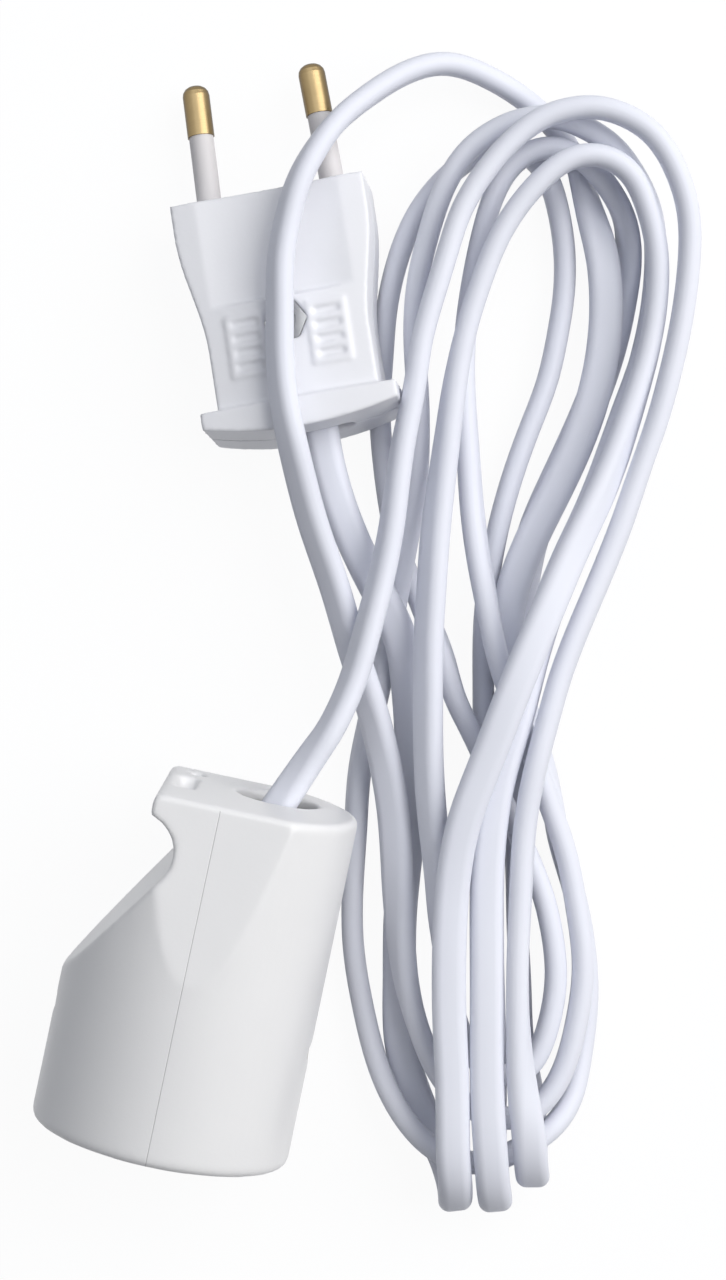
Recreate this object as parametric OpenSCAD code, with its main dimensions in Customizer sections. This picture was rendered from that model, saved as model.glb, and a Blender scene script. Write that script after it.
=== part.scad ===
// Extension cord: a flat two-pin plug, a coiled flat cord and a round socket.
// Millimetres, +Z up. The coil lies on the table and the socket heads along +Y.

/* [Cord] */
// Broad width of the cord's jacket
cord_w = 5; // [4.6:0.1:5.2]
// Thickness of the cord's jacket
cord_t = 3.2; // [2.8:0.1:3.3]
// Diameter of one insulated core
core_d = 1.9; // [1.6:0.1:2]

/* [Plug] */
// Length of the body from the face to the middle of the rear edge
plug_len = 36; // [34:0.5:40]
// Width of the body at the face
plug_face_w = 28.8; // [28:0.2:32]
// Width of the body at the waist
plug_waist_w = 23.8; // [22:0.2:26]
// Thickness of the body on its centreline
plug_t = 13.7; // [13.4:0.1:15]
// Crown of the broad sides across the face
plug_crown = 0.8; // [0.4:0.1:1]
// Wall of the two half shells
plug_wall = 1.8; // [1.4:0.1:2]
// Depth of the rear flange, fore and aft
flange_len = 4.5; // [4:0.1:6]
// Width of the rear flange
flange_w = 28.9; // [28:0.1:32]
// Thickness of the rear flange
flange_t = 16; // [15:0.2:18]
// How far the rear edge bows out in its middle
flange_bow = 2; // [1:0.1:3]
// Length of the scooped thumb rest in each broad side
scoop_len = 16.3; // [14:0.1:18]
// Width of the scoop
scoop_w = 21.4; // [19:0.1:23]
// Depth of the scoop
scoop_deep = 1.2; // [0.8:0.1:1.3]
// Length of the two grip ladders
grip_len = 9.3; // [8:0.1:9.8]
// Width of one grip ladder
grip_w = 5.7; // [5:0.1:6.2]
// Slots in one ladder
grip_slots = 4; // [3:1:5]

/* [Pins] */
// Diameter of the brass tips
pin_d = 4; // [3.96:0.01:4.04]
// Length of the pins beyond the face
pin_len = 19; // [18.5:0.1:19.5]
// Length of the bare brass tip
pin_tip_len = 7.8; // [7:0.1:10]
// Pin spacing at the face
pin_pitch = 18.6; // [18.2:0.1:19]
// Pin spacing at the tips
pin_tip_pitch = 17.5; // [17:0.1:18.2]
// Diameter of the insulating sleeves
sleeve_d = 3.65; // [3.5:0.05:3.65]
// Diameter of the brass inside the sleeves
pin_core_d = 3; // [2.6:0.1:3]

/* [Socket shell] */
// Length of the shell
socket_len = 51.5; // [48:0.5:58]
// Outer diameter at the mouth
socket_d = 37.6; // [37:0.2:40]
// Draft of the shell over its length, on the radius
socket_draft = 0.2; // [0:0.05:0.4]
// Wall of the shell
socket_wall = 2.2; // [1.8:0.1:2.6]
// Rounding of the mouth's rim
rim_r = 1.2; // [0.6:0.1:1.6]
// Radius of the finger notch
notch_r = 5.3; // [4.5:0.1:6]
// Distance of the notch's centre from the shell's axis
notch_x = 11; // [10.5:0.1:12]
// Distance of the notch's centre from the cable end
notch_down = 8.4; // [8:0.1:10]
// Slope of the ramp below the notch against the axis
ramp_a = 34; // [30:0.5:38]
// Distance of the hook's tip from the axis
hook_x = 10; // [9.4:0.1:10.6]
// Slope of the flats on the front and back
flat_a = 7; // [5:0.5:9]
// Length of those flats
flat_len = 26; // [20:1:30]
// Diameter of the cable hole
hole_d = 11.9; // [9:0.1:12]
// Distance of the cable hole from the axis
hole_x = 6.5; // [6:0.1:7]
// Set-back of that hole from the middle, towards the table
hole_y = 4; // [3:0.1:4.5]
// Tilt of the shell on the table
lean = 5.5; // [4:0.5:7]

/* [Socket insert] */
// Depth of the face below the rim
face_sink = 0.8; // [0.4:0.1:1.5]
// Thickness of the face
face_t = 3; // [2.5:0.1:3.5]
// Spacing of the two entry holes
entry_pitch = 19; // [18.6:0.1:19.2]
// Diameter of the entry holes
entry_d = 4.8; // [4.6:0.1:5]
// Thickness of the shutter
shutter_t = 1.5; // [1.2:0.1:1.8]
// Angle through which the shutter turns
shutter_turn = 34; // [32:1:38]
// Diameter of the pivot that the shutter turns on
pivot_d = 5.8; // [5:0.1:6.4]
// Thickness of the contact block
carrier_t = 9.5; // [8:0.5:11]
// Side of the square terminal barrels
barrel_w = 5; // [4.6:0.1:5.4]
// Length of the terminal barrels
barrel_len = 6.5; // [6:0.1:7.5]

/* [Fits] */
// Clearance of parts that slide into each other
slide = 0.05; // [0.03:0.01:0.08]
// Clearance round parts that only lie beside each other
easy = 0.15; // [0.12:0.01:0.2]

/* [Hidden] */
$fn = 48;

// Screws: radius of the shank and of the head, and the head's height
small_r = 1.1;
small_head_r = 1.7;
small_head = 1.1;
term_r = 1.2;
term_head_r = 1.8;
term_head = 1.5;
joint_r = 1.5;
joint_head_r = 2.75;
joint_head = 1.9;
nut_w = 5.5;
nut_t = 2.4;

// How the layout lies against the socket's heading
head_a = 12;
lay_x = 24.14;
lay_y = 46.98;
// How the plug lies on the table: heading, pins down, right side up
plug_head = 9;
plug_dip = 8;
plug_roll = 6;
plug_x = -13.5;
plug_y = 65.2;
plug_z = ((plug_face_w / 2) * sin(plug_roll)
    + (plug_t / 2 - plug_crown) * cos(plug_roll)) * cos(plug_dip);

// Plug: derived sizes
taper_from = 4.5;
taper_to = 23;
crown_r = (pow(plug_face_w / 2, 2) + pow(plug_crown, 2)) / (2 * plug_crown);
bow_r = (pow(flange_w / 2, 2) + pow(flange_bow, 2)) / (2 * flange_bow);
scoop_sag = scoop_deep - pow(scoop_w / 2, 2) / (2 * crown_r);
scoop_r = (pow(scoop_w / 2, 2) + pow(scoop_sag, 2)) / (2 * scoop_sag);
room_h = plug_t / 2 - plug_wall - scoop_deep / 2;
front_wall = 2.5;
rear_wall = 2.5;
joint_y = -20;
joint_boss_r = nut_w / 2 / cos(30) + 0.8;
nut_top = plug_t / 2 - 0.25;
joint_head_z = -plug_t / 2 + 0.3;
pin_lean = asin((pin_pitch - pin_tip_pitch) / 2 / pin_len);
pin_shoulder = 1.5;
plug_barrel_w = 4.2;
plug_barrel_len = 7;
barrel_from = -front_wall - pin_shoulder;
wire_r = core_d / 2 + easy;
cord_in = 8;
outlet_x = 2;
outlet_w = 10;
outlet_h = 4;
clamp_y = -(plug_len - rear_wall - 2.8);
clamp_w = 3.2;
clamp_bar = 1.4;
clamp_step = cord_w / 2 + small_r + 1.7;
post_r = 2.3;
grip_x = 3.2;
grip_top = 1.7;
grip_rise = 0.3;
grip_rim = 0.8;

// Socket: derived sizes
rad = socket_d / 2;
in_r = rad - socket_wall;
notch_z = socket_len - notch_down;
top_r = 1;
flat_half = rad - flat_len * tan(flat_a);
socket_z = (rad - rim_r) * cos(lean) - rim_r * sin(lean) + rim_r;
socket_y = -((rim_r * cos(lean) - (rad - rim_r) * sin(lean) - rim_r)
    + (socket_len * cos(lean) + flat_half * sin(lean))) / 2;
face_z = face_sink + face_t;
shutter_z = face_z + 4 * slide;
spring_wire = 0.6;
spring_turns = 2;
spring_pitch = 1.2;
carrier_z = shutter_z + shutter_t + spring_turns * spring_pitch + spring_wire + 0.5;
carrier_end = carrier_z + carrier_t;
collar_t = 1.9;
collar_wide = 0.7;
sleeve_wall = 0.88;
sleeve_r = pin_d / 2 + 0.02 + sleeve_wall;
barrel_z = carrier_end + collar_t;
barrel_end = barrel_z + barrel_len;
latch_z = carrier_end - 1.5;
latch_w = 4.6;
latch_t = 1.4;
cord_in_x = 4.9;
clamp_z = socket_len - 8.5;
tongue_y = sleeve_r + collar_wide + 0.15;
tongue_t = 3;
tongue_w = 2 * clamp_step + 4.6;
cord_end_z = socket_len - 13;

function unit(v) = v / norm(v);
function turn_x(p, a) = [p.x, p.y * cos(a) - p.z * sin(a), p.y * sin(a) + p.z * cos(a)];
function turn_y(p, a) = [p.x * cos(a) + p.z * sin(a), p.y, p.z * cos(a) - p.x * sin(a)];
function turn_z(p, a) = [p.x * cos(a) - p.y * sin(a), p.x * sin(a) + p.y * cos(a), p.z];
function from_plug(p) = turn_z(turn_x(turn_y(p, -plug_roll), -plug_dip), plug_head)
    + [plug_x, plug_y, plug_z];
function from_socket(p) = turn_z(turn_x(p, lean - 90) + [0, socket_y, socket_z], -head_a)
    - [lay_x, lay_y, 0];

module in_layout() {
    rotate([0, 0, head_a]) translate([lay_x, lay_y, 0]) children();
}
module in_plug() {
    in_layout() translate([plug_x, plug_y, plug_z]) rotate([0, 0, plug_head])
        rotate([-plug_dip, 0, 0]) rotate([0, -plug_roll, 0]) children();
}
module in_socket() {
    translate([0, socket_y, socket_z]) rotate([lean - 90, 0, 0]) children();
}
// A pin's own frame: Z runs out along the pin from the face
module at_pin(side) {
    translate([side * pin_pitch / 2, 0, 0]) rotate([0, 0, side * pin_lean])
        rotate([-90, 0, 0]) children();
}
// A round wire of eight-sided rings on a smooth curve along a path in a level plane
module wire(path, r, up) {
    q = path;
    last = 3 * (len(path) - 1);
    w = function (u) [pow(1 - u, 3), 3 * pow(u, 3) - 6 * u * u + 4,
        -3 * pow(u, 3) + 3 * u * u + 3 * u + 1, pow(u, 3)] / 6;
    at = function (k) let(i = min(floor(k / 3), len(path) - 2), g = w(k / 3 - i))
        g[0] * reach(q, i - 1) + g[1] * q[i] + g[2] * q[i + 1] + g[3] * reach(q, i + 2);
    c = [for (k = [0:last]) at(k)];
    t = [for (k = [0:last]) k == 0 ? unit(path[1] - path[0])
        : k == last ? unit(path[len(path) - 1] - path[len(path) - 2])
        : unit(c[k + 1] - c[k - 1])];
    tube(c, [for (v = t) cross(up, v)], t, [for (k = [0:7]) r * [cos(45 * k), sin(45 * k)]]);
}
// A cheese-head screw along Z with its seat at z = 0 and its head above
module screw(r, len, head_r, head) {
    translate([0, 0, -len]) cylinder(r = r, h = len);
    difference() {
        cylinder(r = head_r, h = head);
        translate([-0.4, -head_r - 1, head * 0.45]) cube([0.8, 2 * head_r + 2, head]);
    }
}
function arc(cx, cy, r, a0, a1, n) = [for (i = [0:n]) let(a = a0 + (a1 - a0) * i / n)
    [cx + r * cos(a), cy + r * sin(a)]];

// Plug shells
function plug_half(a) = a <= taper_from ? plug_face_w / 2
    : a >= taper_to ? plug_waist_w / 2
    : plug_waist_w / 2 + (plug_face_w - plug_waist_w) / 4
        * (1 + cos(180 * (a - taper_from) / (taper_to - taper_from)));
module plug_outline(inset, from, to) {
    n = 24;
    right = [for (i = [0:n]) let(a = from + (to - from) * i / n) [plug_half(a) - inset, -a]];
    left = [for (i = [n:-1:0]) [-right[i].x, right[i].y]];
    polygon(concat(right, left));
}
module crowned(half, from, to) {
    intersection() {
        translate([0, -from, half - crown_r]) rotate([90, 0, 0])
            cylinder(r = crown_r, h = to - from, $fn = 720);
        translate([0, -from, crown_r - half]) rotate([90, 0, 0])
            cylinder(r = crown_r, h = to - from, $fn = 720);
    }
}
module ladder() {
    for (s = [0, 1]) mirror([s, 0, 0]) intersection() {
        translate([grip_x, -scoop_len - grip_top - grip_len, plug_t / 2 - 1.4])
            cube([grip_w, grip_len, 3]);
        crowned(plug_t / 2 + grip_rise, 0, plug_len);
    }
}
module slots_cut() {
    pitch = (grip_len - grip_rim) / grip_slots;
    for (s = [0, 1]) mirror([s, 0, 0]) for (i = [0:grip_slots - 1])
        translate([grip_x + grip_rim, -scoop_len - grip_top - (i + 1) * pitch,
            plug_t / 2 - 0.3])
            cube([grip_w - 2 * grip_rim, pitch - grip_rim, 2]);
}
module scoop() {
    translate([0, 1, plug_t / 2 - scoop_deep + scoop_r]) rotate([90, 0, 0])
        cylinder(r = scoop_r, h = scoop_len + 1, $fn = 720);
}
module plug_hull() {
    difference() {
        union() {
            intersection() {
                linear_extrude(height = plug_t + 2, center = true)
                    plug_outline(0, 0, plug_len - flange_len / 2);
                crowned(plug_t / 2, -1, plug_len);
            }
            intersection() {
                translate([-flange_w / 2, -plug_len, -flange_t])
                    cube([flange_w, flange_len, 2 * flange_t]);
                translate([0, bow_r - plug_len, -flange_t]) cylinder(r = bow_r, h = 2 * flange_t,
                    $fn = 360);
                crowned(flange_t / 2, 0, plug_len);
            }
            for (s = [0, 1]) mirror([0, 0, s]) ladder();
        }
        for (s = [0, 1]) mirror([0, 0, s]) {
            scoop();
            slots_cut();
        }
    }
}
module plug_room() {
    difference() {
        translate([0, 0, -room_h]) linear_extrude(height = 2 * room_h)
            plug_outline(plug_wall, front_wall, plug_len - rear_wall);
        translate([0, joint_y, -room_h - 1]) cylinder(r = joint_boss_r, h = 2 * room_h + 2);
    }
}
module plug_cuts() {
    for (side = [-1, 1]) at_pin(side) translate([0, 0, -front_wall - 1])
        cylinder(r = sleeve_d / 2 + 3 * slide, h = front_wall + 3);
    translate([0, joint_y, -plug_t]) cylinder(r = joint_r + easy, h = 2 * plug_t);
    translate([0, joint_y, nut_top - nut_t]) cylinder(
        r = (nut_w / 2 + slide) / cos(30), h = 3 + nut_t, $fn = 6);
    translate([0, joint_y, joint_head_z - 3])
        cylinder(r = joint_head_r + easy, h = 3 + joint_head);
    translate([outlet_x, -plug_len + rear_wall + 1, 0]) rotate([90, 0, 0]) outlet();
}
module outlet() {
    translate([-(outlet_w - outlet_h) / 2, -outlet_h / 2, 0])
        cube([outlet_w - outlet_h, outlet_h, rear_wall + 2]);
    for (s = [-1, 1]) translate([s * (outlet_w - outlet_h) / 2, 0, 0])
        cylinder(d = outlet_h, h = rear_wall + 2);
}
module half_space(up) {
    translate([-plug_face_w, -plug_len - 2, up ? 0 : -flange_t])
        cube([2 * plug_face_w, plug_len + 4, flange_t]);
}
module plug_upper_shell() {
    color("whitesmoke") in_plug() difference() {
        intersection() {
            plug_hull();
            half_space(true);
        }
        plug_room();
        plug_cuts();
    }
}
module plug_lower_shell() {
    color("gainsboro") in_plug() union() {
        difference() {
            intersection() {
                plug_hull();
                half_space(false);
            }
            plug_room();
            plug_cuts();
        }
        difference() {
            for (s = [-1, 1]) translate([outlet_x + s * clamp_step, clamp_y, -room_h - 0.2])
                cylinder(r = post_r, h = room_h + 0.2 + cord_t / 2 + easy);
            for (s = [-1, 1]) translate([outlet_x + s * clamp_step, clamp_y, -cord_t])
                cylinder(r = small_r + slide, h = 3 * cord_t);
        }
        translate([outlet_x - cord_w / 2, clamp_y - clamp_w / 2, -room_h - 0.2])
            cube([cord_w, clamp_w, room_h + 0.2 - cord_t / 2 - easy]);
    }
}

// Plug metal and fixings
module plug_pin(side) {
    color("goldenrod") in_plug() at_pin(side) difference() {
        union() {
            rotate_extrude() polygon(concat([[0, pin_len - pin_tip_len],
                [pin_d / 2, pin_len - pin_tip_len]],
                arc(pin_d / 2 - 1.5, pin_len - 1.5, 1.5, 0, 90, 4), [[0, pin_len]]));
            translate([0, 0, barrel_from]) cylinder(d = pin_core_d,
                h = pin_len - pin_tip_len - barrel_from + 0.1);
            translate([0, 0, barrel_from]) cylinder(r = sleeve_d / 2 + 0.5,
                h = pin_shoulder - slide);
            translate([-plug_barrel_w / 2, -plug_barrel_w / 2, barrel_from - plug_barrel_len])
                cube([plug_barrel_w, plug_barrel_w, plug_barrel_len]);
        }
        translate([0, 0, barrel_from - plug_barrel_len - 1])
            cylinder(r = wire_r, h = plug_barrel_len - 0.5);
        translate([0, 0, barrel_from - plug_barrel_len / 2]) rotate([90, 0, 0])
            cylinder(r = term_r + slide, h = plug_barrel_w);
    }
}
module plug_pin_left() plug_pin(-1);
module plug_pin_right() plug_pin(1);
module pin_sleeve(side) {
    color("lightgray") in_plug() at_pin(side) difference() {
        translate([0, 0, -front_wall]) cylinder(d = sleeve_d,
            h = front_wall + pin_len - pin_tip_len);
        translate([0, 0, -front_wall - 1]) cylinder(r = pin_core_d / 2 + slide, h = 3 + pin_len);
    }
}
module pin_sleeve_left() pin_sleeve(-1);
module pin_sleeve_right() pin_sleeve(1);
module plug_terminal_screws() {
    color("silver") in_plug() for (side = [-1, 1]) at_pin(side)
        translate([0, -plug_barrel_w / 2, barrel_from - plug_barrel_len / 2])
            rotate([90, 0, 0]) screw(term_r, plug_barrel_w / 2 - core_d / 2 - slide,
                term_head_r, term_head);
}
module plug_cord_clamp() {
    color("dimgray") in_plug() difference() {
        translate([outlet_x - clamp_step - post_r, clamp_y - clamp_w / 2, cord_t / 2 + easy])
            cube([2 * (clamp_step + post_r), clamp_w, clamp_bar]);
        for (s = [-1, 1]) translate([outlet_x + s * clamp_step, clamp_y, 0])
            cylinder(r = small_r + slide, h = 2 * cord_t);
    }
}
module plug_clamp_screws() {
    color("silver") in_plug() for (s = [-1, 1])
        translate([outlet_x + s * clamp_step, clamp_y, cord_t / 2 + easy + clamp_bar])
            screw(small_r, clamp_bar + cord_t - 0.5, small_head_r, small_head);
}
module plug_assembly_screw() {
    color("silver") in_plug() translate([0, joint_y, joint_head_z + joint_head])
        rotate([180, 0, 0]) screw(joint_r, 2, joint_head_r, joint_head);
    color("silver") in_plug() translate([0, joint_y, joint_head_z + joint_head])
        cylinder(r = joint_r, h = nut_top - 0.7 - joint_head_z - joint_head);
}
module plug_assembly_nut() {
    color("silver") in_plug() translate([0, joint_y, nut_top - nut_t]) difference() {
        cylinder(r = nut_w / 2 / cos(30), h = nut_t, $fn = 6);
        translate([0, 0, -1]) cylinder(r = joint_r + slide, h = nut_t + 2);
    }
}
// A core runs from the jacket's end round the joint boss into its barrel
module plug_core(side) {
    z0 = barrel_from - plug_barrel_len;
    x_at = pin_pitch / 2 - z0 * sin(pin_lean);
    first = [outlet_x + side * (core_d / 2 + slide), -plug_len + cord_in + easy, 0];
    bend = side > 0 ? [] : [[-joint_boss_r - 0.8, joint_y - 5, 0]];
    in_plug() wire(concat([first, first + [0, 2, 0]], bend,
        [[side * (x_at - 0.4), z0 - 5.5, 0],
        [side * (pin_pitch / 2 - (z0 - 1.5) * sin(pin_lean)), (z0 - 1.5) * cos(pin_lean), 0],
        [side * (pin_pitch / 2 - (z0 + 2.2) * sin(pin_lean)), (z0 + 2.2) * cos(pin_lean), 0]]),
        core_d / 2, [0, 0, 1]);
}
module plug_core_brown() color("saddlebrown") plug_core(1);
module plug_core_blue() color("steelblue") plug_core(-1);

// Socket shell
module notch_cut(grow) {
    rr = notch_r + grow;
    c = [-notch_x, notch_z];
    edge = c + rr * [cos(ramp_a), -sin(ramp_a)];
    far = edge - socket_len * [sin(ramp_a), cos(ramp_a)];
    lip = grow > 0 ? rr - notch_x : -hook_x;
    rotate([90, 0, 0]) linear_extrude(height = 2 * socket_d, center = true) {
        polygon([c, edge, far, [-socket_d, far.y], [-socket_d, socket_len + 5],
            [lip, socket_len + 5], [lip, notch_z]]);
        translate(c) circle(r = rr, $fn = 64);
        if (grow == 0) translate([-hook_x, socket_len - rim_r]) difference() {
            translate([-0.1, 0]) square([rim_r + 0.1, rim_r + 1]);
            translate([rim_r, 0]) circle(r = rim_r);
        }
    }
}
module flats_cut(grow) {
    low = rad - grow / cos(flat_a);
    for (s = [0, 1]) mirror([0, s, 0]) rotate([90, 0, 90])
        linear_extrude(height = 2 * socket_d, center = true)
            polygon([[low, socket_len - flat_len],
                [low - (flat_len + 2) * tan(flat_a), socket_len + 2],
                [socket_d, socket_len + 2], [socket_d, socket_len - flat_len]]);
}
module socket_shape() {
    top = rad - socket_draft;
    difference() {
        rotate_extrude() polygon(concat([[0, 0]], arc(rad - rim_r, rim_r, rim_r, -90, 0, 4),
            arc(top - top_r, socket_len - top_r, top_r, 0, 90, 3), [[0, socket_len]]));
        notch_cut(0);
        flats_cut(0);
    }
}
module socket_room() {
    difference() {
        translate([0, 0, -1]) cylinder(r = in_r, h = socket_len - socket_wall + 1);
        notch_cut(socket_wall);
        flats_cut(socket_wall);
    }
}
module socket_body() {
    color("whitesmoke") in_socket() difference() {
        socket_shape();
        socket_room();
        translate([hole_x, hole_y, socket_len - socket_wall - 1])
            cylinder(d = hole_d, h = socket_wall + 2);
        translate([-hook_x + 2.05, -4.8, socket_len - 1.8]) cube([2.7, 11.4, 3]);
        translate([-hook_x + 3.1, 10, socket_len - 1.8]) cube([2.2, 2.6, 3]);
        for (s = [-1, 1]) translate([s * rad, 0, latch_z])
            cube([socket_d / 3, latch_w + 2 * easy, latch_t + 2 * easy], center = true);
    }
}

// Socket insert
module socket_face() {
    color("gainsboro") in_socket() difference() {
        union() {
            translate([0, 0, face_sink]) cylinder(r = in_r - slide, h = face_t);
            translate([0, 0, face_sink + 1]) cylinder(d = pivot_d, h = carrier_z - face_sink - 1);
        }
        for (s = [-1, 1]) translate([s * entry_pitch / 2, 0, 0])
            cylinder(d = entry_d, h = face_z + 1);
    }
}
module shutter() {
    color("orange") in_socket() translate([0, 0, shutter_z]) difference() {
        cylinder(r = in_r - 2.6, h = shutter_t);
        translate([0, 0, -1]) cylinder(r = pivot_d / 2 + slide, h = shutter_t + 2);
        for (s = [0, 180]) rotate([0, 0, s - shutter_turn])
            translate([entry_pitch / 2, 0, -1]) cylinder(r = entry_d / 2 + easy,
                h = shutter_t + 2);
    }
}
module shutter_spring() {
    rings = 8 * spring_turns;
    r = pivot_d / 2 + spring_wire / 2 + 0.4;
    z0 = shutter_z + shutter_t + spring_wire / 2 + 0.25;
    c = [for (i = [0:rings]) [r * cos(45 * i), r * sin(45 * i),
        z0 + spring_pitch * i / 8]];
    t = [for (i = [0:rings]) unit([-r * sin(45 * i), r * cos(45 * i), spring_pitch / 2 / PI])];
    b = [for (i = [0:rings]) [cos(45 * i), sin(45 * i), 0]];
    color("silver") in_socket() tube(c, b, t, [for (k = [0:5])
        [spring_wire / 2 * cos(60 * k), spring_wire / 2 * sin(60 * k)]]);
}
module contact_carrier() {
    color("beige") in_socket() difference() {
        union() {
            translate([0, 0, carrier_z]) cylinder(r = in_r - slide, h = carrier_t);
            translate([cord_in_x - tongue_w / 2, tongue_y, carrier_end - 1])
                cube([tongue_w, tongue_t, clamp_z + 2.5 - carrier_end + 1]);
            translate([cord_in_x - tongue_w / 2, cord_t / 2 + easy, clamp_z - 2])
                cube([tongue_w, tongue_y + 0.1 - cord_t / 2 - easy, 4]);
            for (s = [-1, 1]) translate([s * (in_r + 0.3), 0, latch_z])
                cube([2 * socket_wall - 1.2, latch_w, latch_t], center = true);
        }
        for (s = [-1, 1]) {
            translate([s * entry_pitch / 2, 0, carrier_z - 1])
                cylinder(r = sleeve_r + slide, h = carrier_t + 2);
            translate([cord_in_x + s * clamp_step, -1, clamp_z]) rotate([-90, 0, 0])
                cylinder(r = small_r + slide, h = tongue_y + tongue_t + 2);
        }
    }
}
module contact(side) {
    color("goldenrod") in_socket() translate([side * entry_pitch / 2, 0, 0]) difference() {
        union() {
            translate([0, 0, carrier_z + 0.4]) cylinder(r = sleeve_r, h = carrier_t);
            translate([0, 0, carrier_end]) cylinder(r = sleeve_r + collar_wide, h = collar_t + 0.1);
            translate([-barrel_w / 2, -barrel_w / 2, barrel_z])
                cube([barrel_w, barrel_w, barrel_len]);
        }
        translate([0, 0, carrier_z]) cylinder(r = sleeve_r - sleeve_wall,
            h = pin_len + face_sink + 1.2 - carrier_z);
        translate([-0.4, -sleeve_r - 1, carrier_z]) cube([0.8, 2 * sleeve_r + 2, 7]);
        translate([0, 0, barrel_end - barrel_len * 0.68])
            cylinder(r = wire_r, h = barrel_len);
        translate([0, 0, barrel_end - barrel_len * 0.4]) rotate([90, 0, 0])
            cylinder(r = term_r + slide, h = barrel_w);
    }
}
module contact_left() contact(-1);
module contact_right() contact(1);
module socket_terminal_screws() {
    color("silver") in_socket() for (s = [-1, 1])
        translate([s * entry_pitch / 2, -barrel_w / 2, barrel_end - barrel_len * 0.4])
            rotate([90, 0, 0]) screw(term_r, barrel_w / 2 - core_d / 2 - slide,
                term_head_r, term_head);
}
module socket_cord_clamp() {
    color("dimgray") in_socket() difference() {
        translate([cord_in_x - tongue_w / 2, -cord_t / 2 - easy - 1.6, clamp_z - 2])
            cube([tongue_w, 1.6, 4]);
        for (s = [-1, 1]) translate([cord_in_x + s * clamp_step, 0, clamp_z])
            rotate([90, 0, 0]) cylinder(r = small_r + slide, h = 3 * cord_t);
    }
}
module socket_clamp_screws() {
    color("silver") in_socket() for (s = [-1, 1])
        translate([cord_in_x + s * clamp_step, -cord_t / 2 - easy - 1.6, clamp_z])
            rotate([90, 0, 0]) screw(small_r, 1.6 + cord_t / 2 + easy + tongue_y + 1.8,
                small_head_r, small_head);
}
module socket_core(side) {
    first = [cord_in_x + side * (core_d / 2 + slide), 0, cord_end_z - easy];
    in_socket() wire([first, first - [0, 0, 2.8], [side * entry_pitch / 2, 0, barrel_end + 5.5],
        [side * entry_pitch / 2, 0, barrel_end + 2],
        [side * entry_pitch / 2, 0, barrel_end - barrel_len * 0.5]], core_d / 2, [0, 1, 0]);
}
module socket_core_brown() color("saddlebrown") socket_core(1);
module socket_core_blue() color("steelblue") socket_core(-1);

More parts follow.
